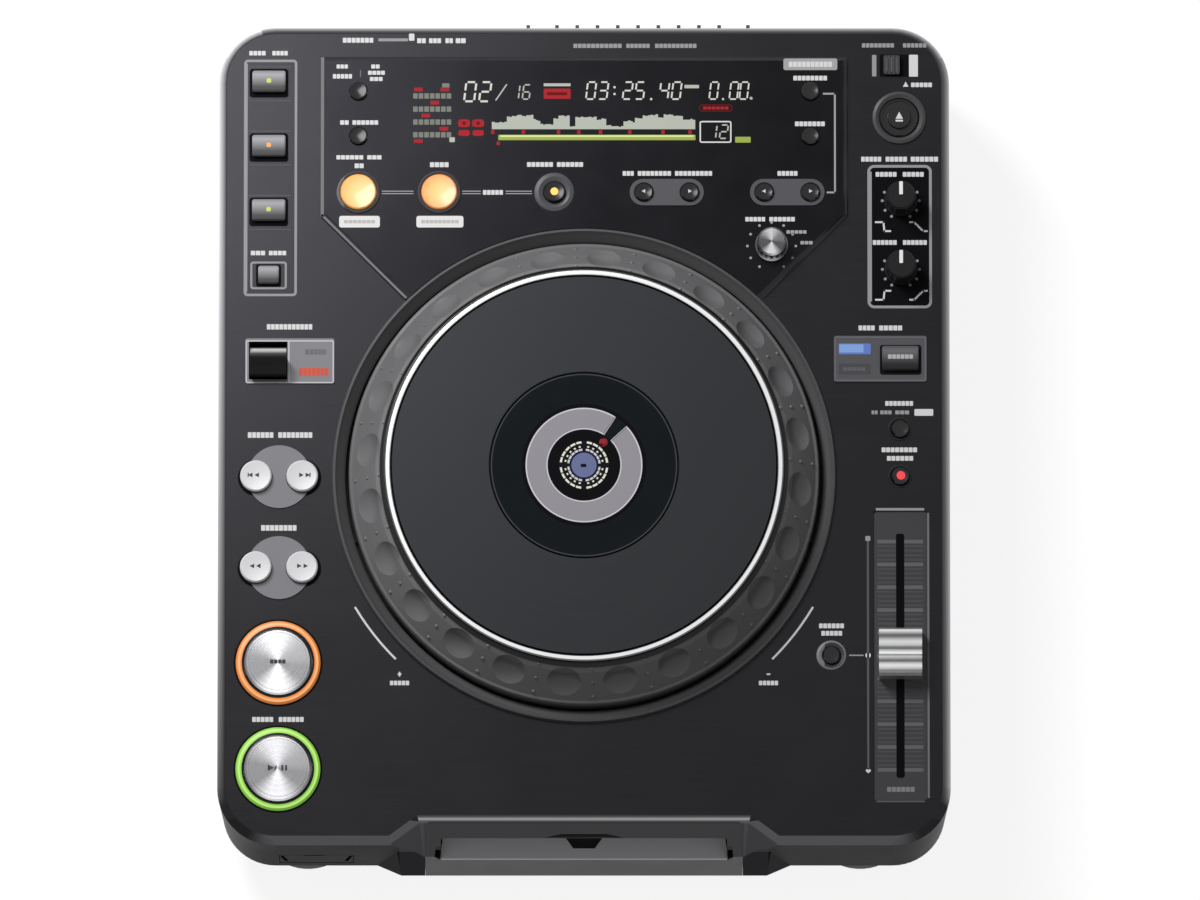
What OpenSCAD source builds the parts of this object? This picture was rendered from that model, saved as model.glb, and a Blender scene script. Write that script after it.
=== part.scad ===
// Tabletop disc player for disc jockeys, with a slot-loading drive under a large jog wheel.
// Millimetres. The origin is the middle of the footprint on the table, +Y to the rear, +Z up.

/* [Case] */
// Width of the case
case_w = 320; // [314:1:330]
// Depth of the case, without the nose in front and the fins behind
case_d = 364.6; // [360:0.2:370]
// How far the nose and the fins stand out of the case
nose_out = 2.7; // [2.2:0.1:4]
// Height of the top panel above the table
panel_z = 80; // [79:0.5:86]
// Height of the feet, up to the underside of the case
foot_h = 18; // [15:0.5:20]
// Thickness of the moulded walls and of the top panel
wall_t = 3; // [2.5:0.25:3.5]
// Radius of the upright corners
corner_r = 25; // [20:1:27]
// Width of the bevel round the top panel
bevel_w = 3.5; // [2:0.25:4.5]
// Height of the bevel round the top panel
bevel_h = 4; // [2:0.25:5]
// How far the side walls lean in at the bottom
draft = 1.8; // [0.5:0.1:2.5]
// Thickness of the steel base plate
plate_t = 1.5; // [1:0.1:2]
// Radius of the feet
foot_r = 23; // [18:0.5:24]
// How far the centres of the feet stand in from the case sides
foot_side_inset = 39; // [36:1:50]
// How far the centres of the front and rear feet stand in from the case ends
foot_inset = 25.3; // [25:0.1:40]

/* [Jog wheel] */
// Panel left on each side of the jog wheel
side_strip = 57.2; // [56.4:0.1:59]
// Panel left in front of and behind the jog wheel, together
end_strips = 159; // [157:0.5:163]
// Place of the jog wheel's axis, along Y
jog_y = -18.8; // [-22:0.2:-16]
// Height of the jog wheel's top ring above the panel
jog_rise = 25; // [23:0.5:28]
// Gap between the jog wheel and its bezel
jog_gap = 1.6; // [1:0.1:2.5]
// Width of the bezel that shows round the jog wheel
bezel_w = 5.8; // [4.5:0.1:7]
// Width of the dimpled slope with the bright ring, round the touch plate
slope_w = 18.6; // [17.5:0.1:20]
// Width of the bright ring round the touch plate
ring_w = 2.6; // [2:0.1:3.6]
// Number of finger dimples
dimples = 24; // [18:1:26]
// Radius of a finger dimple
dimple_r = 7.9; // [6:0.1:8.2]
// Depth of a finger dimple
dimple_depth = 2; // [1:0.1:2.4]
// How far the dimpled slope falls from the wheel's top to its edge
slope_drop = 19.5; // [16:0.5:20]
// Diameter of the fixed round display in the middle
jog_display_d = 81.8; // [70:0.2:90]
// How far the touch plate goes down when it is pressed
touch_travel = 0.6; // [0.3:0.1:0.8]
// Outer radius of the bearing post
post_r = 20; // [16:0.5:22]

/* [Display panel] */
// Panel left on each side of the raised display panel
display_side_gap = 44.5; // [42:0.5:48]
// Distance of the display panel's rear edge from the rear of the case
display_rear_gap = 13.8; // [10:0.2:16]
// Length of the display panel's straight sides
display_side = 71; // [66:0.5:74]
// Height of the display panel above the top panel
display_rise = 2; // [1.5:0.1:3]

/* [Keys] */
// Radius of the cue and play keys
transport_r = 14.65; // [12:0.05:15.5]
// Outer radius of their lit rings
transport_ring_r = 18.5; // [17.5:0.1:19]
// Travel of the cue and play keys
transport_travel = 1.5; // [0.8:0.1:2]
// Radius of the search keys
search_r = 6.9; // [5.5:0.1:7.2]
// Distance between the two keys of a search pair
search_pitch = 20.2; // [18:0.1:22]
// Radius of the grey disc behind a search pair
search_disc_r = 14; // [12:0.1:15]
// Radius of the loop keys
loop_r = 7.8; // [6.5:0.1:8.2]
// Outer radius of the rings round the loop keys
loop_ring_r = 9.6; // [9.3:0.1:10.5]
// Radius of the small round keys
small_r = 3.9; // [3:0.1:4.4]
// Travel of all the smaller keys
key_travel = 0.8; // [0.4:0.1:1.2]
// Width of the square memory keys
square_w = 14.5; // [12:0.1:16]
// Depth of the square memory keys
square_d = 9.5; // [8:0.1:11]
// Distance between the square memory keys
square_pitch = 28.8; // [24:0.1:30]
// Radius of the eject key
eject_r = 8.6; // [8:0.1:10]

/* [Knobs and sliders] */
// Radius of the rotary knobs
knob_r = 6.6; // [5:0.1:7.5]
// Height of the rotary knobs above the panel
knob_h = 13; // [9:0.5:16]
// Plate left beyond each end of the tempo slider's slot
tempo_margin = 10.5; // [9:0.1:16]
// Width of the tempo slider's slot
tempo_slot_w = 2.6; // [2.2:0.1:3.2]
// Width of the tempo slider's cap
tempo_cap_w = 18.8; // [15:0.1:20]
// Length of the tempo slider's cap
tempo_cap_l = 21.2; // [16:0.1:23]
// Width of the recessed tempo plate
tempo_plate_w = 23.6; // [22:0.1:25]
// Panel left between the case's front and the recessed tempo plate
tempo_front_gap = 19.2; // [17:0.2:22]
// Angle of the direction lever to each side of upright
lever_tilt = 16; // [12:1:20]

/* [Disc drive] */
// Height of the disc slot's middle
slot_z = 53; // [51.5:0.25:53.5]
// Height of the disc slot
slot_h = 6; // [5:0.25:7]
// Width of the disc slot
slot_w = 125; // [123:0.5:127]
// Place of the turntable's axis, along Y
turntable_y = -96; // [-98:0.5:-94]
// Travel of the pickup sled
sled_travel = 35; // [30:0.5:37]
// Radius of the loading roller
roller_r = 4; // [3.2:0.1:4.4]
// Radius of the pickup's guide rods
rod_r = 1.5; // [1.2:0.05:1.8]

/* [Rear] */
// Depth of the recess in which the connectors sit
rear_recess = 8.3; // [7:0.1:10]
// Number of inner fins on the heat sink
fins = 9; // [7:1:9]
// Distance between the fins
fin_pitch = 8.9; // [7:0.1:9]
// Radius of an audio jack's barrel
jack_r = 4.15; // [4:0.05:4.3]

/* [Hidden] */
$fn = 72;
gap = 0.3;           // between moving pieces and what they pass
fit = 0.05;          // running clearance of shafts and of the jog bearing
seat = 0.1;          // between pieces that are fitted together

// Case levels and edges
half_w = case_w / 2;
half_d = case_d / 2;
nose_y = -half_d - nose_out;
fin_y = half_d + nose_out;
under_z = panel_z - wall_t;
inner_w = case_w - 2 * (draft + wall_t);
inner_r = corner_r - draft - wall_t;
floor_z = foot_h + 0.6;
floor_top = floor_z + plate_t;
display_z = panel_z + display_rise;
ledge_t = 2;                        // panel left under the display panel
ledge_z = under_z + ledge_t;
board_z = panel_z - 12;             // top of the key boards
board_t = 1.6;
switch_h = 4;

// Jog wheel levels and radii
jog_r = min(case_w / 2 - side_strip, (case_d - end_strips) / 2);
jog_top = panel_z + jog_rise;
bezel_in_r = jog_r + jog_gap;
bezel_r = bezel_in_r + bezel_w;
opening_r = bezel_in_r + 2.8;
plate_r = jog_r - slope_w;
ring_in_r = plate_r + 0.4;
ring_r = ring_in_r + ring_w;
ring_seat_z = jog_top - 3.5;
plate_z = jog_top - 0.6;
plate_thick = 3.5;
web_top = plate_z - plate_thick - touch_travel - 0.4;
web_t = 3;
skirt_t = 2.4;
skirt_z = panel_z - 8;
skirt_top = jog_top - slope_drop;
slope_in_r = ring_r + 0.7;
slope_out_r = jog_r - 1.6;
slope_in_z = ring_seat_z + 0.2;
slope_angle = atan((slope_in_z - skirt_top) / (slope_out_r - slope_in_r));
base_z = panel_z - 16;
base_t = 2.5;
sleeve_r = post_r + 4;
display_r = jog_display_d / 2;

// Disc drive levels
disc_t = 1.2;
disc_z = slot_z - 0.6;
roller_y = nose_y + 26;
drive_half_w = slot_w / 2 + 7.5;
drive_plate_z = slot_z - 19;
drive_plate_t = 1.5;
drive_front = roller_y - 6;
rod_x = 11;
rod_z = slot_z - 9.5;
sled_l = 26;
sled_front = turntable_y + 16;
bracket_front = turntable_y + 12.8;
bracket_rear = sled_front + sled_l + sled_travel + 3;
drive_rear = bracket_rear + 4;
feed_screw_x = 20;
feed_screw_r = 1.6;
arm_y = -28;
arm_z = slot_z + 5.4;
arm_t = 1.5;
puck_r = 13;
turntable_r = 14;

// Places of the controls: x from the case sides, y from the case ends
left_x = -(half_w - 21.9);
right_x = half_w - 21.9;
display_half_w = half_w - display_side_gap;
transport_x = -(half_w - 26.5);
play_y = -half_d + 33;
cue_y = play_y + 47.2;
search_x = -(half_w - 26.75);
search_y = cue_y + 42.3;
track_y = search_y + 40.5;
memory_top_y = half_d - 25.2;
record_y = memory_top_y - 3 * square_pitch;
display_rear_y = half_d - display_rear_gap;
display_side_y = display_rear_y - display_side;
display_corner_x = bezel_r * 0.7;
display_corner_y = jog_y + sqrt(pow(bezel_r, 2) - pow(display_corner_x, 2));
row_y = display_rear_y - 61.1;
mode_x = -(display_half_w - 16.7);
loop_out_x = mode_x + 35.4;
reloop_x = mode_x + 85.8;
folder_x = 36.2;
folder_pitch = 20;
call_pitch = 20.2;
memory_x = display_half_w - 16.4;
call_x = memory_x - call_pitch / 2;
mode_y = display_rear_y - 15.9;
text_y = mode_y - 20;
adjust_x = display_half_w - 33.4;
adjust_y = row_y - 24;
eject_y = half_d - 41.2;
lock_x = half_w - 22.7;
lock_y = half_d - 17.7;
lock_travel = 5;
lock_w = 7;
lock_d = 8.4;
lock_stem_w = 5;
lock_stem_d = 4;
knob_x = half_w - 21.3;
touch_knob_y = half_d - 78.2;
release_knob_y = touch_knob_y - 30.7;
jog_mode_x = half_w - 30.4;
jog_mode_y = half_d - 149;
jog_mode_key_x = jog_mode_x + 8.8;
range_y = half_d - 180.2;
master_y = range_y - 21.1;
reset_x = half_w - 52;
tempo_front = -half_d + tempo_front_gap;
tempo_plate_l = master_y - 15.3 - tempo_front;
tempo_slot = tempo_plate_l - 2 * tempo_margin;
tempo_y = tempo_front + tempo_plate_l / 2;
direction_x = -(half_w - 31.3);
direction_y = (record_y + track_y) / 2 + 6.9;
lever_x = direction_x - 9.5;
lever_z = panel_z - 6;
lever_w = 15.9;
lever_pin_r = 1.5;
window_w = 16.8;
window_d = 17;
door_x = -(half_w - 43);
door_w = 32;
door_h = 22;
door_z = foot_h + 8;
door_t = 2;

// Rear
rear_y = half_d - rear_recess;      // outer face of the rear plate
rear_half_w = half_w - 22;
rear_top_z = panel_z - 8;
sink_x = rear_half_w - 114.3;
sink_edge = 12.6;
sink_z = foot_h + 10;
sink_h = rear_top_z - sink_z - 2;
inlet_x = -(rear_half_w - 26);
switch_x = inlet_x + 36;
jack_pitch = 14;
jack_h = 30;
jack_xs = [for (i = [2, 1, 0]) rear_half_w - 10 - i * jack_pitch];
jack_z = foot_h + jack_h;
jack_l = 9;

// ---------------------------------------------------------------- shared forms

// A flat outline with round corners
module rounded(w, d, r) {
    square([w - 2 * r, d], center = true);
    square([w, d - 2 * r], center = true);
    for (x = [-1, 1], y = [-1, 1])
        translate([x * (w / 2 - r), y * (d / 2 - r)])
            circle(r);
}

module rounded_box(w, d, h, r) {
    linear_extrude(h) rounded(w, d, r);
}

// A tube standing at z = 0
module tube(r_out, r_in, h) {
    rotate_extrude()
        translate([r_in, 0])
            square([r_out - r_in, h]);
}

// The case's section across one side: a wall that leans in, and a bevel at the top
module case_section(half) {
    polygon([
        [0, foot_h], [half - draft, foot_h], [half, panel_z - bevel_h],
        [half - bevel_w, panel_z], [0, panel_z]]);
}

module case_form() {
    for (side = [0, 1]) {
        rotate([90, 0, 0])
            linear_extrude(case_d - 2 * corner_r, center = true)
                mirror([side, 0]) case_section(half_w);
        rotate([90, 0, 90])
            linear_extrude(case_w - 2 * corner_r, center = true)
                mirror([side, 0]) case_section(half_d);
    }
    for (x = [-1, 1], y = [-1, 1])
        translate([x * (half_w - corner_r), y * (half_d - corner_r), 0])
            rotate_extrude() case_section(corner_r);
}

// ---------------------------------------------------------------- keys

// The hidden part of a key: a flange under the panel and a plunger over its switch
module key_stem(flange_r, travel, top = under_z) {
    switch_top = board_z + switch_h;
    translate([0, 0, top - gap - 1.2])
        cylinder(h = 1.2, r = flange_r);
    translate([0, 0, switch_top + travel + 0.2])
        cylinder(h = top - gap - 1 - switch_top - travel - 0.2, r = 1.6);
}

// A round key with a bevelled edge and a dished top
module round_key(r, h, travel, surface = panel_z, dish = 0.25) {
    key_stem(r + 1.2, travel);
    edge = min(0.6, r / 6);
    difference() {
        union() {
            translate([0, 0, under_z - gap - 1])
                cylinder(h = surface + h - edge - under_z + gap + 1, r = r);
            translate([0, 0, surface + h - edge])
                cylinder(h = edge, r1 = r, r2 = r - edge);
        }
        translate([0, 0, surface + h - dish + (pow(r - edge, 2) + pow(dish, 2)) / (2 * dish)])
            sphere((pow(r - edge, 2) + pow(dish, 2)) / (2 * dish));
    }
}

// A rectangular key with a bevelled rim
module square_key(w, d, h, travel) {
    translate([0, 0, under_z - gap - 1.2])
        rounded_box(w + 2, d + 2, 1.2, 1);
    key_stem(2, travel);
    translate([0, 0, under_z - gap - 1])
        rounded_box(w, d, panel_z + h - 0.5 - under_z + gap + 1, 1);
    translate([0, 0, panel_z + h - 0.5])
        rounded_box(w - 0.8, d - 0.8, 0.5, 0.7);
}

// A rotary knob with flutes and a pointer rib
module rotary_knob(r, h, surface, flutes) {
    translate([0, 0, board_z + 7 + gap])
        cylinder(h = surface + 2 - board_z - 7, r = 3);
    translate([0, 0, surface + 0.5])
        difference() {
            union() {
                cylinder(h = 2, r = r + 0.6);
                cylinder(h = h - 1.5, r1 = r + 0.2, r2 = r - 0.2);
                translate([0, 0, h - 1.5])
                    cylinder(h = 0.8, r1 = r - 0.2, r2 = r - 1);
                translate([-0.6, 0, h - 1.2])
                    cube([1.2, r - 0.9, 0.9]);
            }
            for (i = [0.5 : flutes - 0.5])
                rotate([0, 0, i * 360 / flutes])
                    translate([0, r + 0.7, 2.6])
                        cylinder(h = h, r = 0.95);
        }
}

// ---------------------------------------------------------------- places of the keys

// Round keys: x, y and cap radius
play_key = [transport_x, play_y, transport_r];
cue_key = [transport_x, cue_y, transport_r];
search_back_key = [search_x - search_pitch / 2, search_y, search_r];
search_forward_key = [search_x + search_pitch / 2, search_y, search_r];
track_back_key = [search_x - search_pitch / 2, track_y, search_r];
track_forward_key = [search_x + search_pitch / 2, track_y, search_r];
time_key = [mode_x, mode_y, small_r];
text_key = [mode_x, text_y, small_r];
loop_in_key = [mode_x, row_y, loop_r];
loop_out_key = [loop_out_x, row_y, loop_r];
reloop_key = [reloop_x, row_y, small_r + 0.8];
folder_back_key = [folder_x - folder_pitch / 2, row_y, small_r + 0.2];
folder_forward_key = [folder_x + folder_pitch / 2, row_y, small_r + 0.2];
call_back_key = [call_x - call_pitch / 2, row_y, small_r + 0.2];
call_forward_key = [call_x + call_pitch / 2, row_y, small_r + 0.2];
memory_key = [memory_x, mode_y, small_r];
delete_key = [memory_x, text_y, small_r];
eject_key = [right_x, eject_y, eject_r];
range_key = [right_x, range_y, small_r];
master_key = [right_x, master_y, small_r];
reset_key = [reset_x, tempo_y, small_r];
display_keys = [time_key, text_key, loop_in_key, loop_out_key, reloop_key, folder_back_key,
                folder_forward_key, call_back_key, call_forward_key, memory_key, delete_key];
panel_keys = [search_back_key, search_forward_key, track_back_key, track_forward_key,
              eject_key, range_key, master_key, reset_key];
transport_keys = [play_key, cue_key];

// Rectangular keys: x, y, width and depth
hot_keys = [for (i = [0 : 2]) [left_x, memory_top_y - i * square_pitch, square_w, square_d]];
record_key = [left_x, record_y, 9, 8];
jog_mode_key = [jog_mode_key_x, jog_mode_y, 16, 11];
well_keys = concat(hot_keys, [record_key]);
square_keys = concat(well_keys, [jog_mode_key]);

// Rotary knobs: x and y
adjust_knob = [adjust_x, adjust_y];
touch_knob = [knob_x, touch_knob_y];
release_knob = [knob_x, release_knob_y];
knob_shaft_r = 3;
pot_h = 7;

module at(key) {
    translate([key[0], key[1], 0]) children();
}

// ---------------------------------------------------------------- case

ring_tube_r = transport_r + 1.4;
nose_half_w = drive_half_w + 10;
nose_top_half_w = nose_half_w + 2.4;
cheek_half_w = nose_half_w + 10.5;
bezel_half_w = drive_half_w - 0.5;
niche_back_y = -half_d + 10.6;
niche_edge = [2, 3];     // bevel of the niche's rear edge: width and height
niche_low_z = foot_h + 24;
bay_back_y = -half_d + 17;
core_half_w = cheek_half_w + 2;

// One small block, as a corner of the hulls below
module corner(x, y, z) {
    translate([x, y, z]) cube(0.1, center = true);
}

// The swelling of the front below the disc slot
module nose() {
    hull()
        for (x = [-1, 1]) {
            corner(x * nose_half_w, nose_y + 0.05, foot_h + 0.05);
            corner(x * cheek_half_w, -half_d + draft + 0.1, foot_h + 0.05);
            corner(x * nose_top_half_w, -half_d + bevel_w - 1, panel_z - 0.05);
            corner(x * nose_top_half_w, bay_back_y, panel_z - 0.05);
            corner(x * cheek_half_w, bay_back_y, foot_h + 0.05);
        }
}

// Four corners of the sloping niche at one share of its height, moved out by a bevel
module niche_level(up, out = 0, lift = 0) {
    z = niche_low_z + up * (panel_z - niche_low_z) + lift;
    for (x = [-1, 1]) {
        corner(x * (bezel_half_w + up * 2.5 + 0.33 * out), nose_y + up * (niche_back_y - nose_y) + out, z);
        corner(x * (bezel_half_w + up * 29 + 0.59 * out), nose_y - up * 6.15 + 0.81 * out, z);
    }
}

// The sloping niche that the disc slot's moulding closes at the back, with its bevelled edge
module niche() {
    hull() {
        niche_level(0);
        niche_level(1.3);
    }
    hull() {
        niche_level(1 - niche_edge[1] / (panel_z - niche_low_z));
        niche_level(1, niche_edge[0]);
        niche_level(1, niche_edge[0], 4);
    }
}

door_face_y = -half_d + draft * (panel_z - bevel_h - door_z) / (panel_z - bevel_h - foot_h);
door_hinge_y = door_face_y + 1.3;
door_hinge_z = door_z + 1.3;
barrel_r = 1.2;
pocket_d = 9;

// The opening for the memory card's door, and the narrow slot behind it
module card_pocket() {
    translate([door_x - door_w / 2 - gap, door_face_y - 3, door_z - 0.2])
        cube([door_w + 2 * gap, 3 + door_t + 2.4, door_h + gap + 0.2]);
    translate([door_x - 12.5, door_face_y, door_z + 9])
        cube([25, pocket_d + 4, 2.6]);
    for (x = [-1, 1])
        translate([door_x + x * (door_w / 2 + 1), door_hinge_y, door_hinge_z])
            rotate([0, 90, 0]) cylinder(h = 3, r = 0.7 + fit, center = true);
}

cavity_front_y = -half_d + draft + wall_t;
rear_plate_w = 2 * rear_half_w + 12;

module case_cavity() {
    depth = rear_y - cavity_front_y;
    difference() {
        union() {
            translate([0, rear_y - depth / 2, foot_h - 1])
                rounded_box(inner_w, depth, under_z - foot_h + 1, inner_r);
            translate([-rear_plate_w / 2 - gap, rear_y - inner_r, foot_h - 1])
                cube([rear_plate_w + 2 * gap, inner_r, under_z - foot_h + 1]);
        }
        translate([-core_half_w, -half_d - 1, foot_h - 2])
            cube([2 * core_half_w, bay_back_y + half_d + 1, panel_z]);
        translate([door_x - door_w / 2 - 4, -half_d, floor_top + gap])
            cube([door_w + 8, draft + wall_t + pocket_d, door_h + 14]);
    }
}

display_corners = [
    [-display_half_w, display_rear_y], [-display_half_w, display_side_y],
    [-display_corner_x, display_corner_y], [display_corner_x, display_corner_y],
    [display_half_w, display_side_y], [display_half_w, display_rear_y]];

// The display panel's outline, cut free round the jog wheel's bezel
module display_outline() {
    difference() {
        polygon(display_corners);
        translate([0, jog_y]) circle(bezel_r + seat, $fn = 144);
    }
}

post_ys = [play_y + 23.6, search_y - 20.2, (track_y + direction_y) / 2 + 3.45, jog_mode_y + 18.7, touch_knob_y + 16];
board_posts = [
    for (x = [-1, 1], y = post_ys) [x * (half_w - 9.5), y],
    for (x = [-1, 1]) [x * 88, mode_y - 10]];
screw_ys = [-half_d + 45, -half_d + 130, half_d - 125, half_d - 40];
case_screw_x = half_w - draft - wall_t - 3;
screw_r = 1.4;

module upper_case() {
    color([0.09, 0.09, 0.1])
    difference() {
        union() {
            difference() {
                union() {
                    case_form();
                    nose();
                }
                case_cavity();
            }
            for (p = board_posts)
                translate([p[0], p[1], board_z])
                    cylinder(h = under_z - board_z + 0.5, r = 3);
            for (x = [-1, 1], y = screw_ys)
                translate([x * case_screw_x, y, floor_top])
                    cylinder(h = 26, r = 3.6);
            // ears for the pin of the direction lever
            for (x = [-1, 1])
                translate([lever_x + x * (window_w / 2 + 1.2) - 1, direction_y - 4, lever_z - 3.5])
                    cube([2, 8, under_z - lever_z + 4]);
        }
        niche();
        // the pocket for the disc slot's moulding
        translate([-bezel_half_w, nose_y - 1, foot_h - 1])
            cube([2 * bezel_half_w, bay_back_y - nose_y + 2, under_z - foot_h + 1]);
        card_pocket();
        // the rear opening
        translate([-rear_half_w, rear_y - 1, foot_h - 1])
            cube([2 * rear_half_w, rear_recess + 2, rear_top_z - foot_h + 1]);
        // the jog wheel's opening and the recess under the display panel
        translate([0, jog_y, under_z - 1])
            cylinder(h = wall_t + 2, r = opening_r, $fn = 144);
        translate([0, 0, ledge_z])
            linear_extrude(wall_t)
                display_outline();
        panel_holes(panel_z + 1);
        for (k = well_keys)
            translate([k[0], k[1], panel_z - 0.8])
                rounded_box(k[2] + 1.8, k[3] + 2.6, 2, 1);
        translate([right_x, tempo_y, panel_z - 2.2])
            rounded_box(tempo_plate_w, tempo_plate_l, 3, 1.5);
        translate([right_x, tempo_y, under_z - 1])
            cube([tempo_slot_w + 1, tempo_slot + 1, 8], center = true);
        translate([lock_x, lock_y, panel_z - 1])
            rounded_box(lock_w + lock_travel + 2.6, lock_d + 1.4, 2, 1);
        translate([lock_x, lock_y, panel_z])
            cube([lock_stem_w + lock_travel + 2 * gap, lock_stem_d + 2 * gap, 8], center = true);
        translate([lever_x, direction_y, panel_z])
            cube([window_w, window_d, 8], center = true);
        translate([lever_x, direction_y, lever_z])
            rotate([0, 90, 0]) cylinder(h = window_w + 10, r = lever_pin_r + fit, center = true);
        for (x = [-1, 1], y = screw_ys)
            translate([x * case_screw_x, y, floor_top - 1])
                cylinder(h = 16, r = screw_r + fit);
    }
}

// Holes for keys and knob shafts, from under the panel up to a level
module panel_holes(top) {
    depth = top - under_z + 1;
    translate([0, 0, under_z - 1]) {
        for (k = concat(display_keys, panel_keys))
            at(k) cylinder(h = depth, r = k[2] + gap);
        for (k = transport_keys)
            at(k) cylinder(h = depth, r = ring_tube_r);
        for (k = square_keys)
            at(k) rounded_box(k[2] + 2 * gap, k[3] + 2 * gap, depth, 1);
        for (k = [adjust_knob, touch_knob, release_knob])
            at(k) cylinder(h = depth, r = knob_shaft_r + gap);
    }
}

module display_panel() {
    color([0.05, 0.05, 0.055])
    difference() {
        translate([0, 0, ledge_z])
            linear_extrude(display_z - ledge_z)
                display_outline();
        for (i = [0 : 5])
            if (i != 2) {
                a = display_corners[i];
                b = display_corners[(i + 1) % 6];
                translate([a[0], a[1], panel_z])
                    rotate([0, 0, atan2(b[1] - a[1], b[0] - a[0])])
                        rotate([45, 0, 0])
                            translate([-10, 0, 0])
                                cube([norm(b - a) + 20, 8, 8]);
            }
        panel_holes(display_z + 1);
    }
}

// The moulding of the disc slot, with its funnel, ramp and finger notch
lip_z = niche_low_z + 24;
ramp_y = nose_y + 11;

module disc_slot_bezel() {
    low_z = slot_z - slot_h / 2;
    high_z = slot_z + slot_h / 2;
    ramp_front = low_z - 4;
    slot_hw = slot_w / 2;
    color([0.16, 0.16, 0.17])
    difference() {
        intersection() {
            translate([-bezel_half_w + seat, nose_y, foot_h])
                cube([2 * (bezel_half_w - seat), bay_back_y - nose_y, under_z - foot_h]);
            nose();
        }
        niche();
        // hollow behind the lower part, open at the back
        translate([-slot_hw, nose_y + 5, foot_h + 3])
            cube([slot_w, 30, low_z - foot_h - 12]);
        // the way of the disc, wider towards the front
        translate([-slot_hw, 0, 0])
            rotate([90, 0, 90])
                linear_extrude(slot_w)
                    polygon([
                        [nose_y - 5, ramp_front - 0.5], [nose_y + 1.4, ramp_front], [ramp_y, low_z],
                        [bay_back_y + 1, low_z], [bay_back_y + 1, high_z], [ramp_y + 3, high_z],
                        [nose_y + 7, lip_z], [nose_y - 5, lip_z]]);
        // dark gaps at both ends of the ramp
        for (x = [-1, 1])
            translate([x * (slot_hw + 1), nose_y + 6.6, low_z - 1])
                rotate([0, 0, x * 8])
                    cube([2.4, 8.5, 12], center = true);
        // finger notch in the ramp, and a shallow one in the upper lip
        translate([0, ramp_y + 3, low_z - 6])
            linear_extrude(8)
                polygon([[-10.5, 0], [-4.7, -7.5], [4.7, -7.5], [10.5, 0]]);
        translate([0, ramp_y, lip_z])
            rotate([90, 0, 0])
                linear_extrude(12)
                    polygon([[-17.5, -1], [-10, 2], [10, 2], [17.5, -1]]);
    }
}

module card_door() {
    color([0.1, 0.1, 0.11])
    difference() {
        union() {
            intersection() {
                case_form();
                translate([door_x - door_w / 2, door_face_y - 3, door_hinge_z])
                    cube([door_w, 3 + door_t, door_h + door_z - door_hinge_z - gap]);
            }
            translate([door_x, door_hinge_y, door_hinge_z])
                rotate([0, 90, 0]) {
                    cylinder(h = door_w, r = barrel_r, center = true);
                    cylinder(h = door_w + 3, r = 0.7, center = true);
                }
        }
        // finger notch, and a groove near each end
        translate([door_x - 1, door_face_y, door_z + door_h])
            cube([9, 2.4, 3], center = true);
        for (x = [-1, 1])
            translate([door_x + x * (door_w / 2 - 2), door_face_y - 0.8, door_z + door_h / 2 + 1.5])
                rotate([0, x * 8, 0])
                    cube([1.6, 2.4, door_h - 7], center = true);
    }
}

// The steel base: floor, side flanges, rear plate and the posts that carry the boards
vent_rows = 5;
main_board_outer = half_w - 15;
// Chips on the main board (x, y, width), and the power supply's transformer
main_chips = [[0, -40, 24], [-8, 5, 18], [12, 40, 14]];
core_size = [34, 30, 26];
winding_size = [26, 36, 18];
main_board_inner = drive_half_w + 9;
main_board_size = [main_board_outer - main_board_inner, 190];
main_board_at = [-(main_board_outer + main_board_inner) / 2, 5];
supply_size = [76, 96];
supply_at = [half_w - 58, half_d - 80.3];
post_h = 5;

function corners_of(center, size, inset) =
    [for (x = [-1, 1], y = [-1, 1])
        [center[0] + x * (size[0] / 2 - inset), center[1] + y * (size[1] / 2 - inset)]];

drive_posts = [for (x = [-1, 1], y = [drive_front + 12, drive_rear - 8]) [x * (drive_half_w - 9), y]];

module bottom_chassis() {
    w = inner_w - 2 * gap;
    depth = rear_y - cavity_front_y - gap;
    color([0.3, 0.3, 0.32])
    difference() {
        union() {
            translate([0, rear_y - depth / 2, floor_z])
                rounded_box(w, depth, plate_t, inner_r);
            for (x = [-1, 1])
                translate([x * (w / 2 - plate_t / 2) - plate_t / 2, -half_d + 60, floor_z])
                    cube([plate_t, case_d - 130, 12]);
            translate([-rear_plate_w / 2, rear_y - plate_t, floor_z])
                cube([rear_plate_w, plate_t, rear_top_z + 2 - floor_z]);
            for (p = concat(corners_of(main_board_at, main_board_size, 5),
                            corners_of(supply_at, supply_size, 5)))
                translate([p[0], p[1], floor_top])
                    cylinder(h = post_h, r = 3);
            for (p = drive_posts)
                translate([p[0], p[1], floor_top])
                    cylinder(h = drive_plate_z - floor_top, r = 3.5);
        }
        translate([-core_half_w - gap, -half_d, floor_z - 1])
            cube([2 * (core_half_w + gap), bay_back_y + half_d + gap, 40]);
        // vents under the power supply and under the main board
        for (board = [supply_at, main_board_at], i = [0 : vent_rows - 1])
            translate([board[0], board[1] + (i - 2) * 9, floor_z - 1])
                rounded_box(36, 3.4, 8, 1.6);
        for (x = [-1, 1], y = screw_ys)
            translate([x * case_screw_x, y, floor_z - 1])
                cylinder(h = 8, r = screw_r + fit);
        for (x = [-1, 1], y = screw_ys)
            translate([x * (case_screw_x + 3), y, floor_top + 15])
                cube([8, 9, 30], center = true);
        // openings of the rear plate
        for (x = jack_xs)
            translate([x, rear_y, jack_z])
                rotate([90, 0, 0]) cylinder(h = 10, r = jack_r + 1, center = true);
        translate([control_x, rear_y, jack_z])
            rotate([90, 0, 0]) cylinder(h = 10, r = 3.6, center = true);
        translate([inlet_x, rear_y, inlet_z])
            cube([inlet_w, 10, inlet_h], center = true);
        translate([switch_x, rear_y, inlet_z])
            cube([switch_w + 2 * gap, 10, switch_d + 2 * gap], center = true);
    }
}

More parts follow.
